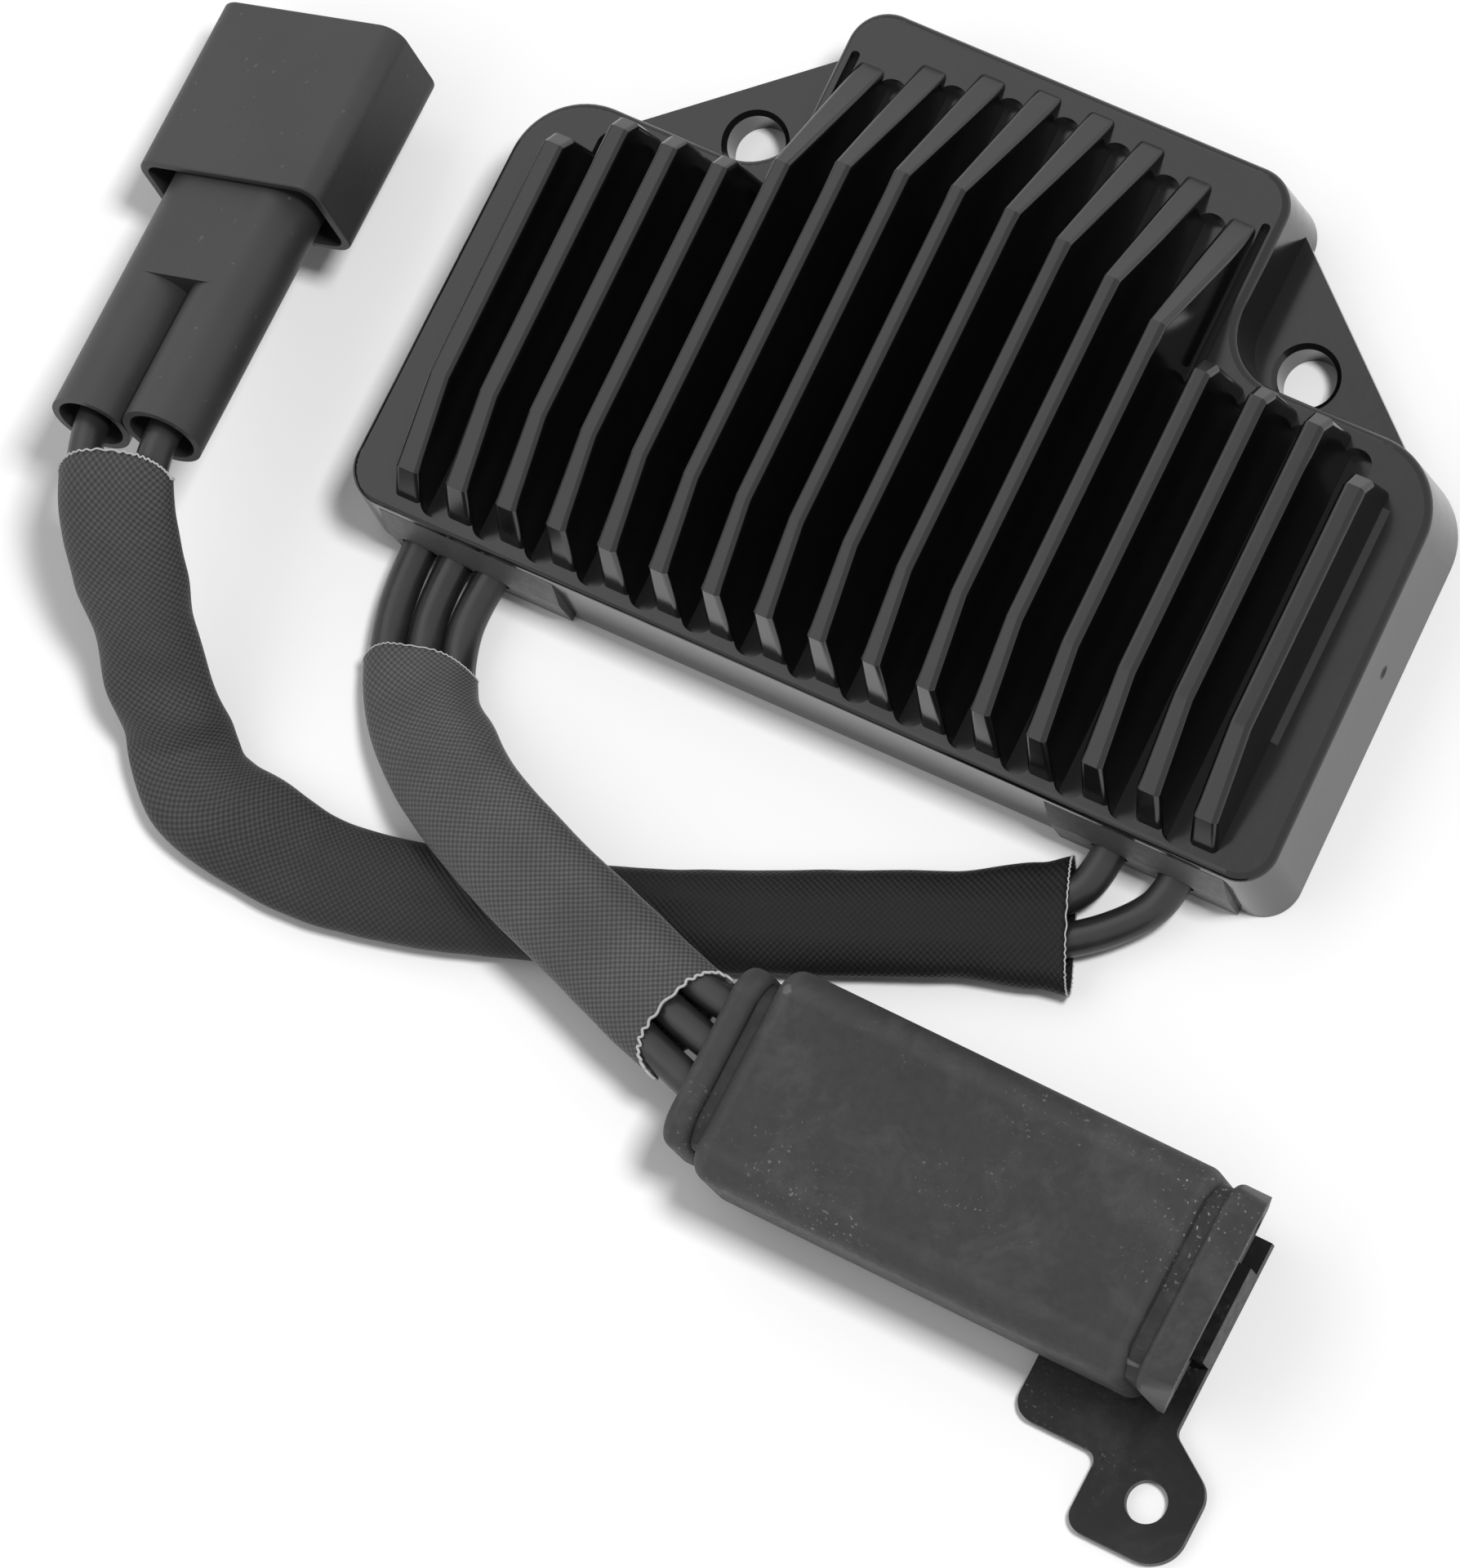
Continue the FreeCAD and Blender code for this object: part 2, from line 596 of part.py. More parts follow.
resistor_b = block("resistor_b", 28.0, 34.4, chip_at + 1.0, chip_at + 4.2, board_low + board_t,
                   board_low + board_t + 0.7)
keep(resistor_b, "sense_resistor_2")

fill = new_body("potting_block")
pad(fill, "potting_pad", "XY", [
    (-cavity_half, cavity_front - centre_y), (cavity_half, cavity_front - centre_y),
    (cavity_half, cavity_back - centre_y), (rear_half, cavity_back - centre_y),
    (rear_half, rear_back - centre_y), (-rear_half, rear_back - centre_y),
    (-rear_half, cavity_back - centre_y), (-cavity_half, cavity_back - centre_y)], cavity_z - potting_low,
    offset=potting_low)
fillet(fill, "potting_corners", lambda e: upright(e, cavity_half.value, cavity_back.value - shift, 0.5), 6.5)
fillet(fill, "potting_rear", lambda e: upright(e, rear_half.value, rear_back.value - shift, 0.5), 3.0)
potting = cut("potting", fill, [pad_body, board, capacitor, chip, resistor_a, resistor_b] + devices + [
    dams["stator"], dams["output"]])
keep(potting, "potting_compound")

# The wire tails. A route is a list of points; a tube follows its straight
# runs and rounds each corner with one tangent arc.


def corner_arc(a, b, c):
    """Tangent points, middle and radius of the arc that rounds corner b."""
    u = (a - b).normalize()
    w = (c - b).normalize()
    turn = math.pi - math.acos(max(-1.0, min(1.0, u.dot(w))))
    shorter = min((a - b).Length, (c - b).Length)
    reach = 0.45 * shorter
    radius = reach / math.tan(turn / 2)
    start = b + u * reach
    end = b + w * reach
    bisector = (u + w).normalize()
    centre = b + bisector * math.hypot(radius, reach)
    middle = centre - bisector * radius
    return start, middle, end, radius, turn, centre


def path_edges(points):
    edges = []
    radii = []
    here = points[0]
    for i in range(1, len(points) - 1):
        start, middle, end, radius, turn, centre = corner_arc(points[i - 1], points[i], points[i + 1])
        edges.append(Part.LineSegment(here, start).toShape())
        edges.append(Part.Arc(start, middle, end).toShape())
        radii.append(radius)
        here = end
    edges.append(Part.LineSegment(here, points[-1]).toShape())
    return edges, radii


def beside(points, gaps, rolls):
    """The same route moved sideways: gap to the left, tipped by the roll."""
    out = []
    count = len(points)
    for i in range(count):
        before = points[i] - points[i - 1] if i > 0 else points[1] - points[0]
        after = points[i + 1] - points[i] if i < count - 1 else before
        n1 = Vec(-before.y, before.x, 0).normalize()
        n2 = Vec(-after.y, after.x, 0).normalize()
        both = (n1 + n2).normalize()
        scale = 1.0 / max(0.5, both.dot(n1))
        roll = math.radians(rolls[i])
        side = both * (gaps[i] * math.cos(roll) * scale)
        out.append(points[i] + side - Vec(0, 0, gaps[i] * math.sin(roll)))
    return out


def lead(label, points):
    """One round lead: a circle swept along its route."""
    edges, radii = path_edges(points)
    spine = doc.addObject("Part::Feature", label + "_route")
    spine.Shape = Part.Wire(edges)
    ring = doc.addObject("Part::Circle", label + "_section")
    ring.Radius = wire_d.value / 2
    bind(ring, "Radius", wire_d / 2)
    ring.Placement = FreeCAD.Placement(points[0], FreeCAD.Rotation(Vec(0, 0, 1), points[1] - points[0]))
    tube = doc.addObject("Part::Sweep", label + "_tube")
    tube.Sections = [ring]
    tube.Spine = (spine, ["Edge%d" % (k + 1) for k in range(len(edges))])
    tube.Solid = True
    tube.Frenet = False
    doc.recompute()
    length = sum(e.Length for e in edges)
    want = math.pi * (wire_d.value / 2) ** 2 * length
    print(label, "length %.1f mm" % length, "volume %.4f of wanted" % (tube.Shape.Volume / want),
          "radii", " ".join("%.1f" % r for r in radii))
    if abs(tube.Shape.Volume / want - 1) > 0.01:
        raise RuntimeError("tube volume is off: " + label)
    keep(tube, label)
    return tube


def ring_of(centre, along, roll, half_w, half_t, corner):
    """The flattened section of a sleeve: eight corners round its middle."""
    side = Vec(-along.y, along.x, 0).normalize()
    up = along.cross(side)
    if up.z < 0:
        up = up * -1
    turn = math.radians(roll)
    across = side * math.cos(turn) - up * math.sin(turn)
    high = up * math.cos(turn) + side * math.sin(turn)
    flat = [(half_w, half_t - corner), (half_w - corner, half_t), (corner - half_w, half_t),
            (-half_w, half_t - corner), (-half_w, corner - half_t), (corner - half_w, -half_t),
            (half_w - corner, -half_t), (half_w, corner - half_t)]
    spots = [centre + across * p[0] + high * p[1] for p in flat]
    return Part.makePolygon(spots + [spots[0]])


def stations(points, rolls, step):
    """Places along a route: position, direction, roll and distance."""
    out = []
    total = 0.0
    here = points[0]
    roll_here = rolls[0]
    out.append((here, (points[1] - points[0]).normalize(), roll_here, 0.0))
    for i in range(1, len(points) - 1):
        start, middle, end, radius, turn, centre = corner_arc(points[i - 1], points[i], points[i + 1])
        before = (points[i] - points[i - 1]).normalize()
        after = (points[i + 1] - points[i]).normalize()
        total += (start - here).Length
        out.append((start, before, rolls[i], total))
        count = max(1, int(math.ceil(math.degrees(turn) / step)))
        axis = before.cross(after)
        for k in range(1, count + 1):
            swing = FreeCAD.Rotation(axis, math.degrees(turn) * k / count)
            spot = centre + swing.multVec(start - centre)
            out.append((spot, swing.multVec(before), rolls[i], total + radius * turn * k / count))
        total += radius * turn
        here = end
    total += (points[-1] - here).Length
    out.append((points[-1], (points[-1] - points[-2]).normalize(), rolls[-1], total))
    return out


def sleeve(label, points, rolls, first, last, widths, corner):
    """A flattened braided sleeve between two distances along a route."""
    half_t = sleeve_t.value
    wall = sleeve_wall.value
    marks = stations(points, rolls, 12.0)

    def at(distance):
        for i in range(1, len(marks)):
            if marks[i][3] >= distance:
                p, q = marks[i - 1], marks[i]
                f = (distance - p[3]) / max(1e-9, q[3] - p[3])
                return (p[0] + (q[0] - p[0]) * f, (p[1] + (q[1] - p[1]) * f).normalize(),
                        p[2] + (q[2] - p[2]) * f, distance)
        return marks[-1]

    def width_at(distance):
        for i in range(1, len(widths)):
            if widths[i][0] >= distance:
                a, b = widths[i - 1], widths[i]
                return a[1] + (b[1] - a[1]) * (distance - a[0]) / (b[0] - a[0])
        return widths[-1][1]

    rows = [at(first)]
    for mark in marks:
        if first + 0.8 < mark[3] < last - 0.8 and mark[3] - rows[-1][3] > 0.8:
            rows.append(mark)
    rows.append(at(last))
    extra = []
    for w in widths:
        if first + 0.8 < w[0] < last - 0.8 and min(abs(w[0] - r[3]) for r in rows) > 0.8:
            extra.append(at(w[0]))
    rows = sorted(rows + extra, key=lambda r: r[3])
    outer = [ring_of(r[0], r[1], r[2], width_at(r[3]), half_t, corner) for r in rows]
    inner = []
    for k, r in enumerate(rows):
        spot = r[0]
        if k == 0:
            spot = spot - r[1] * 0.5
        if k == len(rows) - 1:
            spot = spot + r[1] * 0.5
        inner.append(ring_of(spot, r[1], r[2], width_at(r[3]) - wall, half_t - wall, corner - 0.2))
    shell = Part.makeLoft(outer, True, True)
    bore = Part.makeLoft(inner, True, True)
    item = doc.addObject("Part::Feature", label + "_shape")
    item.Shape = shell.cut(bore)
    print(label, "from %.1f to %.1f mm of its route, %d sections" % (first, last, len(rows)))
    keep(item, label)
    return item


def place_points(raw, along):
    """Route points in the part's frame; along moves them with their dam."""
    return [Vec(p[0] + along, p[1] - centre_y.value, p[2]) for p in raw]


# How the plug of the output leads lies: nose down, tipped to one side.
out_move = wire_shift.value
in_move = -wire_shift.value
mouth_mid = Vec(-85.5 + out_move, 25.7 - centre_y.value, 15.6)
plug_turn = FreeCAD.Rotation(Vec(0.943, 0.150, 0.296), Vec(-0.072, 0.963, -0.260),
                             Vec(-0.323, 0.224, 0.919), "YXZ")
plug_y = plug_turn.multVec(Vec(0, 1, 0))
plug_zero = mouth_mid - plug_y * body_to_hood.value

# Three stator leads, side by side through their sleeve into the boot. They
# rise over the output sleeve that they cross.
stator_route = place_points([
    (-46.5, 0.0, 4.4), (-47.0, -5.8, 3.8), (-45.9, -11.9, 3.1), (-43.2, -17.2, 4.0), (-39.0, -21.5, 6.3),
    (-33.5, -25.1, 9.0), (-26.0, -29.0, 11.2), (-17.6, -32.2, 11.9), (-7.6, -35.5, 11.8), (3.2, -39.5, 11.5),
    (14.5, -42.1, 11.2), (26.0, -42.77, 11.0), (37.3, -43.06, 11.0)], in_move)
level = [0.0] * len(stator_route)
spread = [4.8, 4.5, 4.35, 4.3, 4.3, 4.3, 4.3, 4.3, 4.3, 4.35, 5.3, 6.6, 6.6]
lead("stator_lead_1", beside(stator_route, [-g for g in spread], level))
lead("stator_lead_2", stator_route)
lead("stator_lead_3", beside(stator_route, spread, level))
sleeve("stator_sleeve", stator_route, level, 11.2, 74.6,
       [(0.0, 7.3), (11.2, 7.4), (18.0, 7.15), (60.0, 7.1), (80.0, 7.2)], 1.2)

# Two output leads: out of the dam, into the flared sleeve end, along the
# surface, round the fold and up into the raised plug.
output_mid = place_points([
    (38.9, -10.35, 3.0), (27.5, -15.3, 2.9), (13.5, -21.2, 2.9), (-4.0, -28.7, 2.9), (-24.0, -35.7, 2.9),
    (-36.0, -39.0, 2.9), (-46.0, -40.3, 2.9), (-55.0, -39.8, 2.9), (-61.4, -38.1, 2.95), (-66.8, -34.3, 3.8),
    (-70.4, -29.5, 7.2), (-74.2, -24.1, 12.9), (-77.8, -18.7, 18.8), (-80.3, -14.2, 22.2),
    (-81.9, -10.6, 23.8), (-82.8, -7.2, 24.2), (-83.22, -4.2, 23.72), (-83.47, -1.63, 22.98)], out_move)
tip = [0.0] * 12 + [3.0, 7.0, 11.0, 15.0, 17.2, 17.2]
gaps = [2.2] * 11 + [2.6, 3.2, 3.8, 4.3, 4.75, 5.1, 5.1]


def plug_point(side, along):
    return plug_zero + plug_turn.multVec(Vec(side * barrel_pitch.value / 2, along, 0))


left_of_mid = beside(output_mid, gaps, tip)[:-2] + [plug_point(-1, 0.9), plug_point(-1, 3.6)]
right_of_mid = beside(output_mid, [-g for g in gaps], tip)[:-2] + [plug_point(1, 0.9), plug_point(1, 3.6)]
upper_start = place_points([
    (39.3, 0.0, 4.4), (39.1, -4.3, 3.9), (37.2, -7.5, 3.3), (33.2, -10.4, 2.95)], out_move)
lower_start = place_points([
    (47.8, 0.0, 4.4), (47.55, -3.5, 3.85), (45.2, -7.0, 3.25), (40.8, -11.1, 3.0),
    (35.4, -14.3, 2.95)], out_move)
lead("output_lead_1", upper_start + right_of_mid[1:])
lead("output_lead_2", lower_start + left_of_mid[1:])
route_end = stations(output_mid, tip, 12.0)[-1][3]
sleeve("output_sleeve", output_mid, tip, 0.3, route_end - 7.4,
       [(0.0, 8.3), (5.0, 7.3), (14.0, 6.3), (60.0, 5.95), (82.0, 6.3), (96.0, 6.7), (106.0, 6.5),
        (118.0, 6.1), (128.0, 6.2), (route_end - 18.0, 7.0), (route_end - 8.0, 7.4)], 1.3)

# The plug of the output leads. Its own frame: X across, Y from the lead
# side to the mating side, Z out of its flat top; then tipped as it lies.

def plug_place(item):
    item.Placement = FreeCAD.Placement(plug_zero, plug_turn)


plug_solids = []
plug_cuts = []
for side in (-1, 1):
    tag = "left" if side < 0 else "right"
    mid = as_q(side) * barrel_pitch / 2
    plug_solids.append(rod("barrel_" + tag, "XZ", mid, 0.0, barrel_d, 19.0, offset=as_q(0.0), reverse=True))
    plug_solids.append(rod("plug_round_" + tag, "XZ", mid, 0.0, barrel_d, body_len - 17.5,
                           offset=as_q(-17.5), reverse=True))
    plug_cuts.append(rod("barrel_hole_" + tag, "XZ", mid, 0.0, barrel_bore, 17.5, offset=as_q(1.0),
                         reverse=True))
    plug_cuts.append(block("blade_slot_" + tag, mid - blade_half - 0.1, mid + blade_half + 0.1, 16.0,
                           body_len + 1, -0.5, 0.5))
middle = block("plug_middle", -barrel_pitch / 2, barrel_pitch / 2, 18.4, body_len, -barrel_d / 2,
               barrel_d / 2)
plug_body = cut("plug_body", fuse("plug_solid", plug_solids + [middle]), plug_cuts)
plug_place(plug_body)
keep(plug_body, "output_plug_body")
for side in (-1, 1):
    mid = as_q(side) * barrel_pitch / 2
    number = 1 if side > 0 else 2
    crimp = rod("plug_crimp_%d" % number, "XZ", mid, 0.0, wire_d + 0.4, 9.4, offset=as_q(-3.6),
                reverse=True)
    blade = block("plug_blade_%d" % number, mid - blade_half, mid + blade_half, 12.8, blade_end, -0.4,
                  0.4)
    item = fuse("plug_terminal_%d" % number, [crimp, blade])
    plug_place(item)
    keep(item, "output_terminal_%d" % number)
hood_shell = new_body("hood_shell")
pad(hood_shell, "hood_outer", "XZ", rectangle(-hood_w / 2, hood_w / 2, -hood_t / 2, hood_t / 2), hood_l,
    offset=-body_to_hood, reverse=True)


def along_y(edge, y_min):
    if len(edge.Vertexes) != 2:
        return False
    a = edge.Vertexes[0].Point
    b = edge.Vertexes[1].Point
    return abs(a.y - b.y) > y_min


fillet(hood_shell, "hood_edges", lambda e: along_y(e, 5.0), 2.8)
fillet(hood_shell, "hood_rims", lambda e: not along_y(e, 5.0), 0.35)
near_room = new_body("hood_near_room")
pad(near_room, "hood_near_cut", "XZ", rectangle(-hood_room_x, hood_room_x, -hood_room_z, hood_room_z),
    8.0, offset=-(body_to_hood - 1.0), reverse=True)
fillet(near_room, "hood_near_round", lambda e: along_y(e, 3.0), 2.0)
far_room = new_body("hood_far_room")
pad(far_room, "hood_far_cut", "XZ", rectangle(-hood_room_x, hood_room_x, -hood_room_z, hood_room_z),
    20.0, offset=-(body_to_hood + 9.0), reverse=True)
fillet(far_room, "hood_far_round", lambda e: along_y(e, 3.0), 2.0)
web_hole = block("hood_web_hole", -10.2, 10.2, 30.0, 50.0, -5.1, 5.1)
hood = cut("hood", hood_shell, [near_room, far_room, web_hole])
plug_place(hood)
keep(hood, "output_plug_hood")

# The stator connector in its rubber boot, with the bracket under it. Their
# own frame: X along the boot from the lead end, on the surface.
boot_turn = FreeCAD.Rotation(Vec(0, 0, 1), -1.5)
boot_zero = Vec(9.8 + in_move, -42.35 - centre_y.value, 0)


def boot_place(item):
    item.Placement = FreeCAD.Placement(boot_zero, boot_turn)


def slab_x(name, x0, x1, half, z0, z1, edge_r, end_r):
    body = new_body(name)
    pad(body, name + "_pad", "YZ", [(-as_q(half), z0), (half, z0), (half, z1), (-as_q(half), z1)],
        as_q(x1) - as_q(x0), offset=as_q(x0))

    def along_x(edge):
        ends = [v.Point for v in edge.Vertexes]
        return len(ends) == 2 and abs(ends[0].x - ends[1].x) > 0.9 * edge.Length

    if edge_r:
        fillet(body, name + "_edges", along_x, edge_r)
    if end_r:
        fillet(body, name + "_ends", lambda e: not along_x(e), end_r)
    return body


low = boot_mid_z - boot_half_t
high = boot_mid_z + boot_half_t
boot_parts = [
    slab_x("boot_rib", 0.0, 3.6, boot_half_w - 1.9, low + 1.3, high - 1.3, 4.0, 1.4),
    slab_x("boot_neck", 3.0, 6.5, boot_half_w - 2.9, low + 2.3, high - 2.3, 3.4, 0),
    slab_x("boot_box", 5.0, 61.2, boot_half_w, low, high, 4.2, 2.2),
    slab_x("boot_groove", 60.0, 64.0, boot_half_w - 1.1, low + 0.9, high - 0.9, 3.6, 0),
    slab_x("boot_lip", 62.5, boot_long, boot_half_w - 0.2, low + 0.1, high - 0.1, 4.0, 1.0)]
boot_solid = fuse("boot_solid", boot_parts)
inside = slab_x("boot_inside", 7.0, 70.0, boot_room, low + 2.3, high - 2.3, 1.6, 0)
lead_way = slab_x("boot_lead_way", -1.0, 8.0, lead_room, boot_mid_z - 2.6, boot_mid_z + 2.9, 2.2, 0)
slant = doc.addObject("Part::Box", "boot_mouth_cut")
slant.Length = 12
slant.Width = 40
slant.Height = 40
slant.Placement = FreeCAD.Placement(Vec(63.3 - 1.5 * math.tan(math.radians(12.2)), -20, 0),
                                    FreeCAD.Rotation(Vec(0, 1, 0), 12.2))
boot = cut("boot", boot_solid, [inside, lead_way, slant])
boot_place(boot)
keep(boot, "rubber_boot")

case = slab_x("case_outer", case_from, case_to, case_half, 3.95, 18.05, 1.2, 0)
case_cuts = [
    block("case_room", 42.0, 61.0, -9.2, 9.2, 6.6, 16.6),
    block("case_rail", 50.0, 61.0, -6.2, 6.2, 3.0, 5.6)]
for k in range(3):
    y = stator_pitch * (k - 1)
    case_cuts.append(rod("case_bore_%d" % (k + 1), "YZ", y, 11.0, wire_d + 0.5, 12.5, offset=as_q(21.0)))
    case_cuts.append(block("case_slot_%d" % (k + 1), 33.0, 43.0, y - 0.5, y + 0.5, 7.75, 14.25))
case_body = cut("case_body", case, case_cuts)
boot_place(case_body)
keep(case_body, "stator_plug_body")
for k in range(3):
    y = stator_pitch * (k - 1)
    crimp = rod("stator_crimp_%d" % (k + 1), "YZ", y, 11.0, wire_d + 0.2, 5.6, offset=as_q(27.6))
    blade = block("stator_blade_%d" % (k + 1), 33.0, 57.0, y - 0.4, y + 0.4, 7.85, 14.15)
    item = fuse("stator_terminal_%d_solid" % (k + 1), [crimp, blade])
    boot_place(item)
    keep(item, "stator_terminal_%d" % (k + 1))

plate = new_body("bracket_plate")
plate_corners = [
    (plate_x0, plate_y1, 2.0), (plate_x0, plate_y0, 2.6), (lug_x0, plate_y0, 1.4),
    (lug_x0, lug_y, 2.2), (lug_x1, lug_y, 4.2), (lug_x1, lug_y + 10.5, 3.6),
    (plate_x1, lug_y + 14.9, 1.4), (plate_x1, plate_y1, 0)]
pad(plate, "bracket_pad", "XY", [(c[0], c[1]) for c in plate_corners], plate_t)


def plate_corner(x, y):
    def test(edge):
        ends = [v.Point for v in edge.Vertexes]
        return len(ends) == 2 and math.hypot(ends[0].x - x, ends[0].y - y) < 0.05 and math.hypot(
            ends[1].x - x, ends[1].y - y) < 0.05
    return test


for k, (x, y, r) in enumerate(plate_corners):
    if r:
        fillet(plate, "bracket_corner_%d" % (k + 1), plate_corner(x.value, y.value), r)
flange = block("bracket_flange", plate_x1 - plate_t, plate_x1, -6.0, 6.0, 0.5, 5.45)
tongue = block("bracket_tongue", 51.0, 65.0, -6.0, 6.0, 3.95, 5.45)
screw = rod("bracket_screw_hole", "XY", screw_x, screw_y, bracket_hole, 6.0, offset=as_q(-2.0))
bracket = cut("bracket", fuse("bracket_solid", [plate, flange, tongue]), [screw])
boot_place(bracket)
keep(bracket, "connector_bracket")

# Everything is checked before anything is written.
doc.recompute()
bad = [o.Name for o in doc.Objects if "Invalid" in o.State or "Error" in o.State]
if bad:
    raise RuntimeError("failed objects: " + ", ".join(bad))
os.makedirs("parts", exist_ok=True)
for label in pieces:
    shape = pieces[label].Shape
    if shape.isNull() or not shape.isValid():
        raise RuntimeError("bad shape: " + label)
    print(label, "solids", len(shape.Solids), "volume %.1f" % shape.Volume)
    shape.exportStep("parts/" + label + ".step")
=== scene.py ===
import math

import bpy
from mathutils import Matrix, Vector, noise


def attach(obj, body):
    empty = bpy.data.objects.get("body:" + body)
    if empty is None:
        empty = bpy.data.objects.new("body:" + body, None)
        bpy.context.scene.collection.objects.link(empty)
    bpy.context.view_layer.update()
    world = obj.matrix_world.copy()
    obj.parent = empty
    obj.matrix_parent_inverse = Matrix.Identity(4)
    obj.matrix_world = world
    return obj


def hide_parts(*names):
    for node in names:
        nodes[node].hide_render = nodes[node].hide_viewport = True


# Looks for the voltage regulator rectifier: camera, wires and woven sleeves
# first, then the materials of every piece. Metres, in the frame of the part.

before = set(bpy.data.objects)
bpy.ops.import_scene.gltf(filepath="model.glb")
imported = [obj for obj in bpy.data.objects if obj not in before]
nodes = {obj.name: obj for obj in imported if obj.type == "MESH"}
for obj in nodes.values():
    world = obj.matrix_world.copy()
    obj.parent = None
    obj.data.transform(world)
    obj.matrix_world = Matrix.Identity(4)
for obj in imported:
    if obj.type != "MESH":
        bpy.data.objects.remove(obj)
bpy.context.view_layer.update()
scene = bpy.context.scene

# Camera at the photograph's angle, found from the casting's own edges.
IMAGE_W = 1788
IMAGE_H = 1920
FOCAL_PX = 13197.0
SENSOR_MM = 36.0
CAMERA_TURN = {"X": -0.2374189, "Y": -0.2063606, "Z": -0.4614238}
CAMERA_PLACE = (0.34635, -0.20122, 1.18494)

cam_data = bpy.data.cameras.new("camera")
camera = bpy.data.objects.new("camera", cam_data)
scene.collection.objects.link(camera)
turns = [Matrix.Rotation(angle, 3, axis) for axis, angle in CAMERA_TURN.items()]
world_to_cam = turns[0] @ turns[1] @ turns[2]
camera.rotation_mode = "QUATERNION"
camera.rotation_quaternion = world_to_cam.transposed().to_quaternion()
camera.location = CAMERA_PLACE
cam_data.sensor_width = SENSOR_MM
cam_data.lens = FOCAL_PX * SENSOR_MM / max(IMAGE_W, IMAGE_H)
cam_data.clip_start = 0.05
cam_data.clip_end = 20.0
scene.camera = camera
scene.view_settings.view_transform = "Standard"


# Node helpers.
class Mat:
    """A node material with one Principled shader, and short ways to feed it."""

    def __init__(self, name):
        self.mat = bpy.data.materials.new(name)
        self.mat.use_nodes = True
        self.nt = self.mat.node_tree
        self.nt.nodes.clear()
        self.out = self.nt.nodes.new("ShaderNodeOutputMaterial")
        self.bsdf = self.nt.nodes.new("ShaderNodeBsdfPrincipled")
        self.nt.links.new(self.bsdf.outputs[0], self.out.inputs[0])

    def node(self, kind, **values):
        n = self.nt.nodes.new(kind)
        for key, value in values.items():
            setattr(n, key, value)
        return n

    def link(self, a, b):
        self.nt.links.new(a, b)

    def set(self, **values):
        for key, value in values.items():
            socket = self.bsdf.inputs[key.replace("_", " ")]
            if hasattr(value, "is_linked"):
                self.link(value, socket)
            else:
                socket.default_value = value

    def coords(self, kind="Object"):
        return self.node("ShaderNodeTexCoord").outputs[kind]

    def scaled(self, vector, scale):
        m = self.node("ShaderNodeMapping")
        m.inputs["Scale"].default_value = scale
        self.link(vector, m.inputs["Vector"])
        return m.outputs[0]

    def noise(self, vector, scale, detail=4.0, rough=0.55, distort=0.0):
        n = self.node("ShaderNodeTexNoise")
        n.inputs["Scale"].default_value = scale
        n.inputs["Detail"].default_value = detail
        n.inputs["Roughness"].default_value = rough
        n.inputs["Distortion"].default_value = distort
        self.link(vector, n.inputs["Vector"])
        return n.outputs["Fac"]

    def ramp(self, fac, stops):
        r = self.node("ShaderNodeValToRGB")
        r.color_ramp.interpolation = "LINEAR"
        el = r.color_ramp.elements
        el[0].position, el[0].color = stops[0][0], grey(stops[0][1])
        el[1].position, el[1].color = stops[-1][0], grey(stops[-1][1])
        for p, c in stops[1:-1]:
            e = el.new(p)
            e.color = grey(c)
        self.link(fac, r.inputs[0])
        return r.outputs[0]

    def remap(self, fac, a, b, c, d):
        m = self.node("ShaderNodeMapRange")
        for key, value in (("From Min", a), ("From Max", b), ("To Min", c), ("To Max", d)):
            m.inputs[key].default_value = value
        self.link(fac, m.inputs["Value"])
        return m.outputs[0]

    def threshold(self, fac, low, high, top=1.0):
        """0 up to low, then up to the value top at high, and 1 at the end."""
        return self.ramp(fac, [(0.0, 0.0), (low, 0.0), (high, top), (1.0, 1.0)])

    def math(self, op, a, b=None):
        m = self.node("ShaderNodeMath", operation=op)
        for i, value in enumerate((a, b)):
            if value is None:
                continue
            if hasattr(value, "is_linked"):
                self.link(value, m.inputs[i])
            else:
                m.inputs[i].default_value = value
        return m.outputs[0]

    def mix(self, fac, a, b):
        m = self.node("ShaderNodeMix", data_type="RGBA")
        for socket, value in ((m.inputs[0], fac), (m.inputs[6], a), (m.inputs[7], b)):
            if hasattr(value, "is_linked"):
                self.link(value, socket)
            else:
                socket.default_value = value
        return m.outputs[2]

    def bump(self, height, distance, strength=1.0, normal=None):
        b = self.node("ShaderNodeBump")
        b.inputs["Strength"].default_value = strength
        b.inputs["Distance"].default_value = distance
        self.link(height, b.inputs["Height"])
        if normal is not None:
            self.link(normal, b.inputs["Normal"])
        return b.outputs[0]


def grey(c):
    """A grey with the photograph's very slight blue."""
    return (c, c, c * 1.01, 1.0)


# The routes of the wire tails: the control points of the CAD source, in metres.
CENTRE_Y = 0.0382


def place_points(raw):
    return [Vector((x / 1000, y / 1000 - CENTRE_Y, z / 1000)) for x, y, z in raw]


def beside(points, gaps, rolls):
    """The same route moved sideways: gap to the left, tipped by the roll."""
    out = []
    for i, p in enumerate(points):
        before = p - points[i - 1] if i > 0 else points[1] - p
        after = points[i + 1] - p if i < len(points) - 1 else before
        n1 = Vector((-before.y, before.x, 0)).normalized()
        n2 = Vector((-after.y, after.x, 0)).normalized()
        both = (n1 + n2).normalized()
        scale = 1.0 / max(0.5, both.dot(n1))
        roll = math.radians(rolls[i])
        gap = gaps[i] / 1000
        drop = Vector((0, 0, gap * math.sin(roll)))
        out.append(p + both * (gap * math.cos(roll) * scale) - drop)
    return out


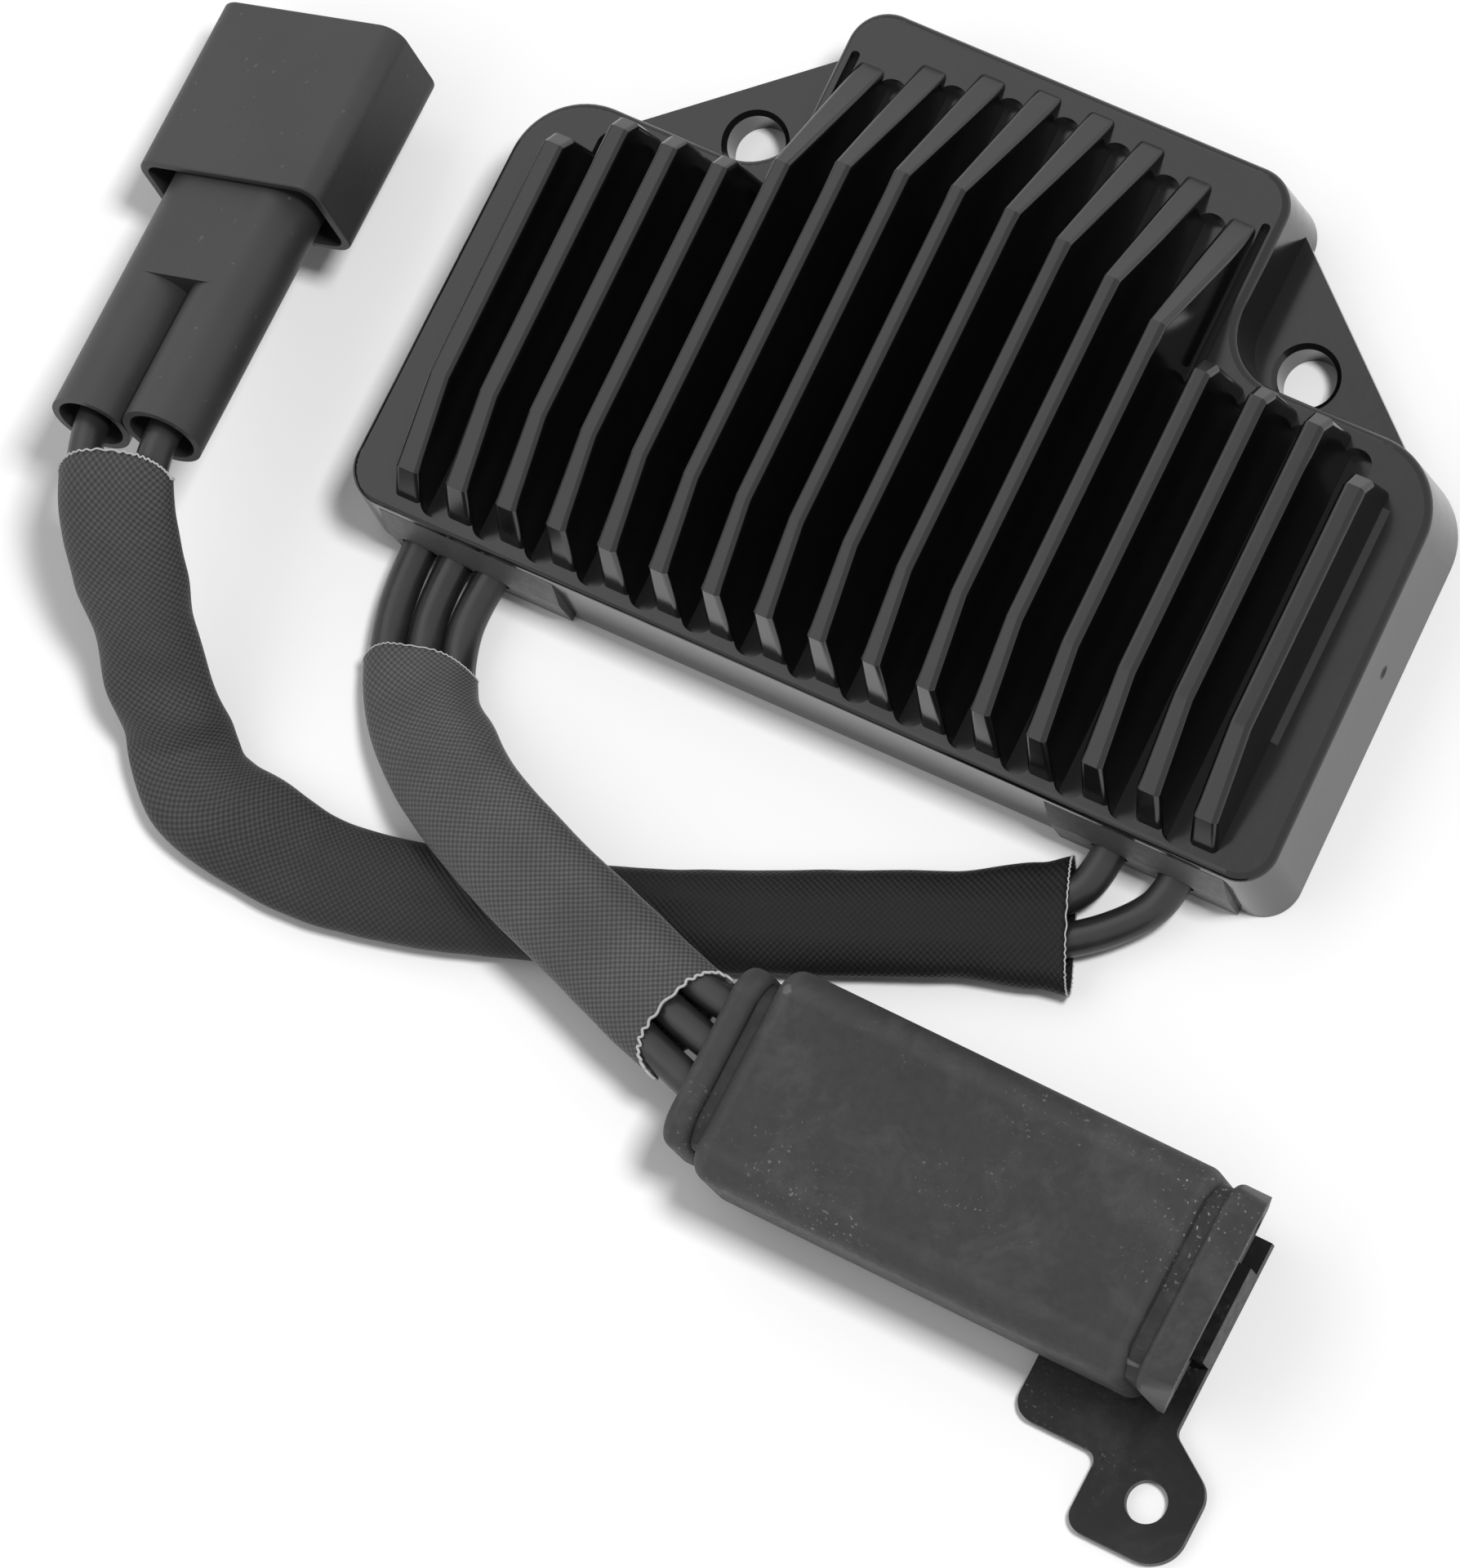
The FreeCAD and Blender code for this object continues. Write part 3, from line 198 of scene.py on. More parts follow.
WIRE_R = 0.0021
stator_route = place_points([
    (-46.5, 0.0, 4.4), (-47.0, -5.8, 3.8), (-45.9, -11.9, 3.1), (-43.2, -17.2, 4.0),
    (-39.0, -21.5, 6.3), (-33.5, -25.1, 9.0), (-26.0, -29.0, 11.2), (-17.6, -32.2, 11.9),
    (-7.6, -35.5, 11.8), (3.2, -39.5, 11.5), (14.5, -42.1, 11.2), (26.0, -42.77, 11.0),
    (37.3, -43.06, 11.0)])
stator_level = [0.0] * 13
stator_spread = [4.8, 4.5, 4.35, 4.3, 4.3, 4.3, 4.3, 4.3, 4.3, 4.35, 5.3, 6.6, 6.6]
output_mid = place_points([
    (38.9, -10.35, 3.0), (27.5, -15.3, 2.9), (13.5, -21.2, 2.9), (-4.0, -28.7, 2.9),
    (-24.0, -35.7, 2.9), (-36.0, -39.0, 2.9), (-46.0, -40.3, 2.9), (-55.0, -39.8, 2.9),
    (-61.4, -38.1, 2.95), (-66.8, -34.3, 3.8), (-70.4, -29.5, 7.2), (-74.2, -24.1, 12.9),
    (-77.8, -18.7, 18.8), (-80.3, -14.2, 22.2),
    (-81.9, -10.6, 23.8), (-82.8, -7.2, 24.2), (-83.22, -4.2, 23.72), (-83.47, -1.63, 22.98)])
tip = [0.0] * 12 + [3.0, 7.0, 11.0, 15.0, 17.2, 17.2]
output_gaps = [2.2] * 11 + [2.6, 3.2, 3.8, 4.3, 4.75, 5.1, 5.1]

# The output plug's own frame: across, towards the mating side, out of its top.
plug_a = Vector((-0.072, 0.963, -0.260)).normalized()
plug_u = Vector((0.943, 0.150, 0.296))
plug_u = (plug_u - plug_a * plug_u.dot(plug_a)).normalized()
plug_n = plug_u.cross(plug_a)
plug_zero = Vector((-0.0855, 0.0257 - CENTRE_Y, 0.0156)) - plug_a * 0.032


def plug_point(side, along):
    return plug_zero + plug_u * (side * 0.0051) + plug_a * (along / 1000)


def into_plug(points, side):
    """The route with its last two points in line with its barrel of the plug."""
    return points[:-2] + [plug_point(side, 0.9), plug_point(side, 3.6)]


left_of_mid = into_plug(beside(output_mid, output_gaps, tip), -1)
right_of_mid = into_plug(beside(output_mid, [-g for g in output_gaps], tip), 1)
upper_start = place_points([
    (39.3, 0.0, 4.4), (39.1, -4.3, 3.9), (37.2, -7.5, 3.3), (33.2, -10.4, 2.95)])
lower_start = place_points([
    (47.8, 0.0, 4.4), (47.55, -3.5, 3.85), (45.2, -7.0, 3.25), (40.8, -11.1, 3.0),
    (35.4, -14.3, 2.95)])


def route_curve(name, points, radius):
    """One open smooth spline through the route's control points."""
    data = bpy.data.curves.new(name, "CURVE")
    data.dimensions = "3D"
    spline = data.splines.new("NURBS")
    spline.points.add(len(points) - 1)
    for i, p in enumerate(points):
        spline.points[i].co = (p.x, p.y, p.z, 1.0)
    spline.order_u = 3
    spline.use_endpoint_u = True
    spline.resolution_u = 14
    data.bevel_depth = radius
    data.bevel_resolution = 5
    data.use_fill_caps = radius > 0
    item = bpy.data.objects.new(name, data)
    scene.collection.objects.link(item)
    return item


def read_path(points):
    """Points along the smooth spline of a route, close together."""
    helper = route_curve("route_helper", points, 0.0)
    helper.data.resolution_u = 40
    bpy.context.view_layer.update()
    mesh = bpy.data.meshes.new_from_object(helper)
    out = [v.co.copy() for v in mesh.vertices]
    bpy.data.objects.remove(helper)
    bpy.data.meshes.remove(mesh)
    return out


class Path:
    """Lookup along read points: place, direction and how far."""

    def __init__(self, points):
        self.points = points
        self.at = [0.0]
        for a, b in zip(points, points[1:]):
            self.at.append(self.at[-1] + (b - a).length)
        self.length = self.at[-1]

    def place(self, distance):
        d = min(max(distance, 0.0), self.length)
        low, high = 0, len(self.at) - 1
        while high - low > 1:
            mid = (low + high) // 2
            if self.at[mid] <= d:
                low = mid
            else:
                high = mid
        f = (d - self.at[low]) / max(1e-9, self.at[high] - self.at[low])
        return self.points[low].lerp(self.points[high], f)

    def direction(self, distance):
        a = self.place(distance - 0.0012)
        b = self.place(distance + 0.0012)
        return (b - a).normalized()


def eased(table, x):
    """Smooth value from a short table of (place, value)."""
    if x <= table[0][0]:
        return table[0][1]
    for (x0, v0), (x1, v1) in zip(table, table[1:]):
        if x <= x1:
            t = (x - x0) / (x1 - x0)
            t = t * t * (3 - 2 * t)
            return v0 + (v1 - v0) * t
    return table[-1][1]


def mesh_object(name, verts, faces, uvs, material):
    mesh = bpy.data.meshes.new(name)
    mesh.from_pydata([tuple(v) for v in verts], [], faces)
    mesh.validate()
    layer = mesh.uv_layers.new(name="UVMap")
    for poly in mesh.polygons:
        poly.use_smooth = True
        for k, li in enumerate(poly.loop_indices):
            layer.data[li].uv = uvs[poly.index][k]
    item = bpy.data.objects.new(name, mesh)
    scene.collection.objects.link(item)
    mesh.materials.append(material)
    return item


# Materials.
def paint_material():
    """Gloss black paint over a casting, slightly wavy, with a few dust specks."""
    m = Mat("gloss_black_paint")
    c = m.coords()
    peel = m.noise(c, 700.0, 2.0, 0.5)
    wide = m.noise(c, 60.0, 3.0, 0.5)
    dust = m.noise(c, 2600.0, 1.0, 0.5)
    specks = m.threshold(dust, 0.77, 0.80)
    base = m.mix(specks, grey(0.004), grey(0.02))
    m.set(Base_Color=base, Metallic=0.0, IOR=1.5, Coat_Weight=0.0)
    m.set(Roughness=m.remap(wide, 0.3, 0.7, 0.13, 0.19))
    b = m.bump(peel, 0.00004, 0.12)
    m.set(Normal=m.bump(wide, 0.0004, 0.10, b))
    return m.mat


# The braid's repeat, in mm along and across the sleeve.
CELL = 0.78


def weave_material(name, low, high, sheen, ior, painted_shade_side=None):
    """Braided yarn: staggered rows of small raised crossings, with painted shade in the hollows
    between them.
    The last argument is (from x, to x, tone): painted shade that darkens the braid towards the
    higher x."""
    m = Mat(name)
    sep = m.node("ShaderNodeSeparateXYZ")
    m.link(m.coords("UV"), sep.inputs[0])
    wob = m.noise(m.coords(), 420.0, 2.0, 0.5)
    shift = m.math("MULTIPLY", m.math("SUBTRACT", wob, 0.5), 0.9)
    u = m.math("MULTIPLY", sep.outputs[0], 2 * math.pi / CELL)
    v = m.math("MULTIPLY", sep.outputs[1], 2 * math.pi / CELL)
    along = m.math("COSINE", m.math("ADD", u, shift))
    across = m.math("COSINE", m.math("ADD", v, shift))
    both = m.math("MULTIPLY", along, across)
    height = m.remap(both, -1.0, 1.0, 0.0, 1.0)
    broad = m.noise(m.coords(), 90.0, 4.0, 0.6)
    # painted shade: the tone drops in the hollows between crossings and rises on their raised
    # tops
    painted_hollow_shade = m.ramp(height, [(0.0, 0.30), (0.4, 0.65), (0.75, 1.05), (1.0, 1.45)])
    tone = m.mix(m.remap(broad, 0.3, 0.7, 0.0, 1.0), grey(low), grey(high))
    # painted shade: between the two x the braid turns to the given darker tone, and stays dark
    # beyond
    if painted_shade_side is not None:
        place = m.node("ShaderNodeSeparateXYZ")
        m.link(m.coords(), place.inputs[0])
        start, end, dark_tone = painted_shade_side
        tone = m.mix(m.remap(place.outputs[0], start, end, 0.0, 1.0), tone, grey(dark_tone))
    mul = m.node("ShaderNodeMix", data_type="RGBA", blend_type="MULTIPLY")
    mul.inputs[0].default_value = 1.0
    m.link(tone, mul.inputs[6])
    m.link(painted_hollow_shade, mul.inputs[7])
    m.set(Base_Color=mul.outputs[2], Roughness=0.6, IOR=ior)
    m.bsdf.inputs["Sheen Weight"].default_value = sheen
    m.bsdf.inputs["Sheen Roughness"].default_value = 0.5
    m.set(Normal=m.bump(height, 0.00010, 0.8))
    return m.mat


def lead_material():
    """Smooth black wire insulation."""
    m = Mat("lead_insulation")
    c = m.coords()
    wide = m.noise(c, 160.0, 3.0, 0.5)
    fine = m.noise(c, 1500.0, 2.0, 0.5)
    m.set(Base_Color=m.mix(m.remap(wide, 0.3, 0.7, 0.0, 1.0), grey(0.012), grey(0.022)))
    m.set(Roughness=m.remap(wide, 0.3, 0.7, 0.30, 0.44), IOR=1.5)
    m.set(Normal=m.bump(fine, 0.00003, 0.5, m.bump(wide, 0.0002, 0.25)))
    return m.mat


def dusty_rubber(name, low, high, dust_amount, rough=0.62, ior=1.5, wear=0.55):
    """Matt moulded rubber with fine dust, rubbed edges and faint streaks."""
    m = Mat(name)
    c = m.coords()
    broad = m.noise(c, 45.0, 4.0, 0.6)
    fine = m.noise(c, 900.0, 3.0, 0.6)
    speck = m.noise(c, 2100.0, 2.0, 0.5)
    spots = m.threshold(speck, 0.64, 0.72)
    patch = m.threshold(m.noise(c, 60.0, 4.0, 0.65), 0.50, 0.72)
    spots = m.math("MULTIPLY", m.math("MULTIPLY", spots, patch), dust_amount)
    streaks = m.noise(m.scaled(c, (1.0, 9.0, 3.0)), 260.0, 3.0, 0.6, 0.6)
    scratch = m.threshold(streaks, 0.68, 0.76, 0.6)
    smudge = m.threshold(m.noise(c, 110.0, 5.0, 0.7, 0.4), 0.50, 0.75)
    geo = m.node("ShaderNodeNewGeometry")
    worn = m.threshold(geo.outputs["Pointiness"], 0.505, 0.55)
    tone = m.mix(m.remap(broad, 0.3, 0.7, 0.0, 1.0), grey(low), grey(high))
    tone = m.mix(m.math("MULTIPLY", smudge, 0.16 * dust_amount), tone, grey(0.16))
    tone = m.mix(m.math("MULTIPLY", scratch, 0.26 * dust_amount), tone, grey(0.16))
    tone = m.mix(m.math("MULTIPLY", worn, wear), tone, grey(0.15))
    tone = m.mix(m.math("MULTIPLY", spots, 0.75), tone, grey(0.36))
    m.set(Base_Color=tone, IOR=ior)
    m.set(Roughness=m.remap(fine, 0.3, 0.7, rough - 0.06, rough + 0.08))
    m.set(Normal=m.bump(fine, 0.00005, 0.6, m.bump(broad, 0.0006, 0.3)))
    return m.mat


def moulded(name, low, high, rough, fine_scale=1400.0, depth=0.00003):
    """Moulded plastic or resin with a fine grain and a few specks."""
    m = Mat(name)
    c = m.coords()
    broad = m.noise(c, 55.0, 3.0, 0.55)
    fine = m.noise(c, fine_scale, 2.0, 0.5)
    speck = m.threshold(m.noise(c, 1100.0, 1.0, 0.5), 0.74, 0.78)
    tone = m.mix(m.remap(broad, 0.3, 0.7, 0.0, 1.0), grey(low), grey(high))
    tone = m.mix(m.math("MULTIPLY", speck, 0.12), tone, grey(0.3))
    m.set(Base_Color=tone, IOR=1.5)
    m.set(Roughness=m.remap(broad, 0.3, 0.7, rough - 0.05, rough + 0.05))
    m.set(Normal=m.bump(fine, depth, 0.6))
    return m.mat


def metal(name, colour, rough):
    """Drawn or rolled metal with fine lines along one way."""
    m = Mat(name)
    c = m.coords()
    n = m.noise(m.scaled(c, (1.0, 1.0, 6.0)), 500.0, 3.0, 0.6)
    m.set(Base_Color=m.mix(n, (*colour, 1.0), (*(part * 0.8 for part in colour), 1.0)))
    m.set(Metallic=1.0, Roughness=m.remap(n, 0.3, 0.7, rough - 0.06, rough + 0.08))
    m.set(Normal=m.bump(n, 0.00003, 0.4))
    return m.mat


paint = paint_material()
weave = weave_material("braided_sleeve", 0.052, 0.072, 0.12, 1.45)
# The output braid carries painted shade: it darkens from x -85 mm to -12 mm, along the run in
# front of the casting.
output_weave = weave_material("braided_sleeve_painted_shade", 0.046, 0.066, 0.03, 1.38,
                              painted_shade_side=(-0.085, -0.012, 0.006))
pvc = lead_material()
boot_skin = dusty_rubber("dusty_boot", 0.008, 0.015, 1.0, ior=1.44)
dam_skin = dusty_rubber("dam_rubber", 0.008, 0.014, 0.15, 0.45)
plug_skin = moulded("plug_plastic", 0.022, 0.030, 0.50)
hood_skin = moulded("hood_plastic", 0.022, 0.032, 0.50)
bracket_skin = dusty_rubber("bracket_coating", 0.005, 0.011, 0.6, 0.40, ior=1.33, wear=0.0)
resin = moulded("potting_resin", 0.020, 0.030, 0.28, fine_scale=260.0, depth=0.00012)
tin = metal("tinned_contact", (0.72, 0.70, 0.64), 0.28)
epoxy = moulded("device_epoxy", 0.025, 0.035, 0.45)
laminate = moulded("board_laminate", 0.05, 0.07, 0.35)
can_metal = metal("capacitor_can", (0.62, 0.62, 0.64), 0.3)
silicone = moulded("silicone_pad", 0.35, 0.42, 0.6)
thread = moulded("frayed_yarn", 0.32, 0.45, 0.6)

looks = {"finned_housing": paint, "wire_dam_stator": dam_skin, "wire_dam_output": dam_skin,
         "heat_pad": silicone, "circuit_board": laminate, "filter_capacitor": can_metal,
         "control_chip": epoxy, "sense_resistor_1": epoxy, "sense_resistor_2": epoxy,
         "potting_compound": resin, "output_plug_body": plug_skin, "output_plug_hood": hood_skin,
         "rubber_boot": boot_skin, "stator_plug_body": plug_skin,
         "connector_bracket": bracket_skin}
for number in (1, 2, 3):
    looks["thyristor_%d" % number] = epoxy
    looks["diode_%d" % number] = epoxy
    looks["stator_terminal_%d" % number] = tin
looks["output_terminal_1"] = tin
looks["output_terminal_2"] = tin
for name, material in looks.items():
    data = nodes[name].data
    data.materials.clear()
    data.materials.append(material)

# The five leads.
for name, points in (
        ("stator_lead_1", beside(stator_route, [-g for g in stator_spread], stator_level)),
        ("stator_lead_2", stator_route),
        ("stator_lead_3", beside(stator_route, stator_spread, stator_level)),
        ("output_lead_1", upper_start + right_of_mid[1:]),
        ("output_lead_2", lower_start + left_of_mid[1:])):
    item = route_curve(name + "_wire", points, WIRE_R)
    item.data.materials.append(pvc)
    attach(item, "root")
    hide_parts(name)


# The woven sleeves: flattened tubes lofted along the smooth line. Near an end
# each point moves along by that end's trim, so that the rim isn't cut square.
AROUND = 88           # points in a ring
STEP = 0.0007         # from ring to ring
BLEND = 0.020         # how far a trim reaches in from its end
WALL = 0.00042
SIDE_POWER = 0.66     # the section's form: below 1 is fuller than an ellipse
TOP_POWER = 0.98
RIDGE = 0.00012       # how much the wires inside lift the braid
WAVES = 0.00014       # how much the braid's slow waves stand out
OUTER_LOW = 0.00002   # lowest place of the outer skin and of the inner one
INNER_LOW = 0.00004


def sleeve(name, skin, path, first, last, half_left, half_right, half_t, rolls,
           wires, seed, ripples, trims):
    """A sleeve from first to last along the path, in metres, and its rings.
    The half widths, the half thickness and the rolls are tables by mm along it,
    wires is (table of their spacing, how many), ripples(mm, angle) is in mm, and
    trims are the two ends' shifts by angle, in mm. Angle 0 is to the left."""
    count = max(2, int(round((last - first) / STEP)))
    verts = []
    rings = []
    stations = []
    for k in range(count + 1):
        even = first + (last - first) * k / count
        near = max(0.0, 1.0 - (even - first) / BLEND) ** 2
        far = max(0.0, 1.0 - (last - even) / BLEND) ** 2
        ring = []
        row = []
        for j in range(AROUND):
            a = 2 * math.pi * j / AROUND
            ca, sa = math.cos(a), math.sin(a)
            s = even + near * trims[0](a) / 1000 + far * trims[1](a) / 1000
            mm = s * 1000
            centre = path.place(s)
            along = path.direction(s)
            side = Vector((-along.y, along.x, 0)).normalized()
            up = along.cross(side)
            if up.z < 0:
                up = -up
            roll = math.radians(eased(rolls, mm))
            across = side * math.cos(roll) - up * math.sin(roll)
            high = up * math.cos(roll) + side * math.sin(roll)
            x = math.copysign(abs(ca) ** SIDE_POWER, ca)
            z = math.copysign(abs(sa) ** TOP_POWER, sa)
            px = x * eased(half_left if x > 0 else half_right, mm) / 1000
            # the wires inside lift the braid into soft ridges
            wave = math.cos(2 * math.pi * px / (eased(wires[0], mm) / 1000))
            dip = 0.5 + 0.5 * wave * (1 if wires[1] == 3 else -1)
            soft = 1.0 - min(1.0, abs(x)) ** 4
            pz = z * (eased(half_t, mm) / 1000 - RIDGE * (1 - dip) * soft)
            n = noise.noise(Vector((mm * 0.11, ca * 1.1 + seed, sa * 1.1)))
            n += 0.5 * noise.noise(Vector((mm * 0.3, ca * 1.7 + seed * 2, sa * 1.7)))
            grow = WAVES * n + ripples(mm, a) / 1000
            radial = Vector((x, z)).normalized()
            point = centre + across * (px + radial.x * grow) + high * (pz + radial.y * grow)
            point.z = max(point.z, OUTER_LOW)
            ring.append(point)
            row.append(mm)
        rings.append(ring)
        stations.append(row)
    for ring in rings:
        verts.extend(ring)
    # inner skin
    base = len(verts)
    for k, ring in enumerate(rings):
        centre = sum(ring, Vector()) / len(ring)
        for j in range(AROUND):
            p = ring[j]
            nxt = ring[(j + 1) % AROUND]
            prv = ring[(j - 1) % AROUND]
            along = (rings[min(k + 1, count)][j] - rings[max(k - 1, 0)][j]).normalized()
            normal = (nxt - prv).cross(along).normalized()
            if normal.dot(p - centre) < 0:
                normal = -normal
            inner = p - normal * WALL
            inner.z = max(inner.z, INNER_LOW)
            verts.append(inner)
    faces = []
    uvs = []
    perimeter = []
    ring = rings[count // 2]
    total = 0.0
    for j in range(AROUND):
        perimeter.append(total)
        total += (ring[(j + 1) % AROUND] - ring[j]).length * 1000
    cells = max(8, round(total / CELL))
    fit = cells * CELL / total

    def uv(k, j):
        wrap = total if j >= AROUND else 0.0
        return (stations[k][j % AROUND], (perimeter[j % AROUND] + wrap) * fit)

    for k in range(count):
        for j in range(AROUND):
            a = k * AROUND + j
            b = k * AROUND + (j + 1) % AROUND
            faces.append((a, b, b + AROUND, a + AROUND))
            uvs.append([uv(k, j), uv(k, j + 1), uv(k + 1, j + 1), uv(k + 1, j)])
            faces.append((base + a + AROUND, base + b + AROUND, base + b, base + a))
            uvs.append([uv(k + 1, j), uv(k + 1, j + 1), uv(k, j + 1), uv(k, j)])
    for k, flip in ((0, False), (count, True)):
        for j in range(AROUND):
            a = k * AROUND + j
            b = k * AROUND + (j + 1) % AROUND
            face = (a, base + a, base + b, b)
            faces.append(face[::-1] if flip else face)
            uvs.append([uv(k, j)] * 4)
    item = mesh_object(name, verts, faces, uvs, skin)
    return item, rings


def fringe(name, rings, which, seed, density, reach, thick):
    """Frayed yarn ends round an open end of a sleeve: one thin zigzag thread."""
    ring = rings[0] if which == "start" else rings[-1]
    inward = rings[4] if which == "start" else rings[-5]
    count = len(ring)
    points = []
    middle = sum(ring, Vector()) / count
    for i in range(density):
        f = i / density * count
        j = int(f) % count
        p = ring[j].lerp(ring[(j + 1) % count], f - int(f))
        q = inward[j].lerp(inward[(j + 1) % count], f - int(f))
        out = (p - q).normalized()
        n = noise.noise(Vector((i * 0.37, seed, 1.7)))
        zig = (1.0 if i % 2 else -0.8) * reach * (0.8 + 0.7 * n)
        rise = 0.4 * thick + thick * noise.noise(Vector((i * 0.9, seed, 4.2)))
        point = p + out * zig + (p - middle).normalized() * rise
        point.z = max(point.z, thick + OUTER_LOW)
        points.append(point)
    data = bpy.data.curves.new(name, "CURVE")
    data.dimensions = "3D"
    spline = data.splines.new("NURBS")
    spline.points.add(len(points) - 1)
    for i, p in enumerate(points):
        spline.points[i].co = (p.x, p.y, p.z, 1.0)
    spline.order_u = 3
    spline.use_cyclic_u = True
    spline.resolution_u = 3
    data.bevel_depth = thick
    data.bevel_resolution = 1
    item = bpy.data.objects.new(name, data)
    scene.collection.objects.link(item)
    item.data.materials.append(thread)
    return item


stator_path = Path(read_path(stator_route))
output_path = Path(read_path(output_mid))


def upper(a):
    """How much an angle round the sleeve is on its upper side."""
    return max(0.0, math.sin(a))


def square(a):
    """No trim: the rim is square to the route."""
    return 0.0


def stator_near(a):
    """The side towards the output wires starts later than the outer side."""
    c = math.cos(a)
    return 1.3 + 1.7 * c + 2.8 * c * c


def stator_far(a):
    """The upper side is drawn back in a bow."""
    return -3.8 * upper(a) ** 0.8


def output_far(a):
    """The upper side reaches on over the leads, the outer corner stays back."""
    return 2.2 * upper(a) ** 0.7 - 1.6 - 0.9 * max(0.0, math.cos(a))


def stator_ripples(mm, a):
    """A shallow tuck along the inside of the bend."""
    tuck = math.exp(-((mm - 27.0) / 4.0) ** 2) - 0.4 * math.exp(-((mm - 21.0) / 3.0) ** 2)
    return 0.35 * tuck * max(0.0, math.cos(a)) ** 3


def output_ripples(mm, a):
    """A twisted fold where the tail turns up into its plug: two bulges with a
    crease between them that runs aslant round the sleeve."""
    top = 0.5 + 0.5 * math.sin(a)
    at = mm - 4.0 * math.cos(a)
    out = 0.0
    for place, width, height in (
            (103.5, 5.5, 1.35), (118.0, 3.4, 1.1), (112.0, 1.4, -0.45), (93.0, 3.0, -0.4)):
        out += height * math.exp(-((at - place) / width) ** 2)
    return out * top


stator_sleeve, stator_rings = sleeve(
    "stator_braid", weave, stator_path, 0.0111, 0.0741,
    half_left=[(11, 6.7), (20, 6.65), (30, 6.75), (60, 6.9), (75, 7.1)],
    half_right=[(11, 7.2), (20, 6.85), (40, 6.8), (75, 7.1)],
    half_t=[(11, 2.85), (30, 2.75), (75, 2.8)],
    rolls=[(0, 0.0), (80, 0.0)],
    wires=([(0, 4.35), (100, 4.3)], 3), seed=1.3,
    ripples=stator_ripples, trims=(stator_near, stator_far))
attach(stator_sleeve, "root")
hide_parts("stator_sleeve")
output_end = output_path.length - 0.0074
end_mm = output_end * 1000
output_half = [(0, 8.2), (4, 7.4), (14, 6.3), (60, 5.9), (82, 6.2), (96, 6.6), (106, 6.4),
               (118, 6.0), (128, 6.1), (end_mm - 14, 7.1)]
output_sleeve, output_rings = sleeve(
    "output_braid", output_weave, output_path, 0.0004, output_end,
    half_left=output_half + [(end_mm - 4, 7.6), (end_mm, 7.6)],
    half_right=output_half + [(end_mm - 4, 7.5), (end_mm, 7.5)],
    half_t=[(0, 2.8), (120, 2.8), (128, 3.0), (150, 3.1)],
    rolls=[(0, 0.0), (112, 0.0), (122, 6.0), (132, 12.0), (146, 17.2)],
    wires=([(0, 4.4), (100, 4.4), (150, 9.0)], 2), seed=4.1,
    ripples=output_ripples, trims=(square, output_far))
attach(output_sleeve, "root")
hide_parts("output_sleeve")
for name, rings, which, seed, density, reach, thick in (
        ("stator_fray_near", stator_rings, "start", 2.0, 120, 0.00016, 0.00008),
        ("stator_fray_far", stator_rings, "end", 5.0, 64, 0.00042, 0.00019),
        ("output_fray_near", output_rings, "start", 8.0, 110, 0.00018, 0.00010),
        ("output_fray_far", output_rings, "end", 11.0, 96, 0.00026, 0.00012)):
    item = fringe(name, rings, which, seed, density, reach, thick)
    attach(item, "root")

# Floor, background and lamps. The background is white where the camera or a
# reflection sees it, and lights the object less than that.
FLOOR_HALF = 3.0
FLOOR_Z = -0.00015
FLOOR_TONE = 0.82
FADE_FROM, FADE_TO = 0.22, 0.8
WORLD_LIGHT = 0.34
WHITE = (1.0, 1.0, 1.0, 1.0)


def new_node(tree, kind, **inputs):
    """A node with values set on its inputs, or links where a socket is given."""
    n = tree.nodes.new(kind)
    for key, value in inputs.items():
        socket = n.inputs[key.replace("_", " ")]
        if hasattr(value, "is_linked"):
            tree.links.new(value, socket)
        else:
            socket.default_value = value
    return n


def maths(tree, operation, a, b):
    n = tree.nodes.new("ShaderNodeMath")
    n.operation = operation
    tree.links.new(a, n.inputs[0])
    tree.links.new(b, n.inputs[1])
    return n.outputs[0]


def seen_rays(tree):
    """1 for the rays that show the background: camera, glossy and transmission."""
    rays = tree.nodes.new("ShaderNodeLightPath").outputs
    seen = maths(tree, "MAXIMUM", rays["Is Camera Ray"], rays["Is Glossy Ray"])
    return maths(tree, "MAXIMUM", seen, rays["Is Transmission Ray"])


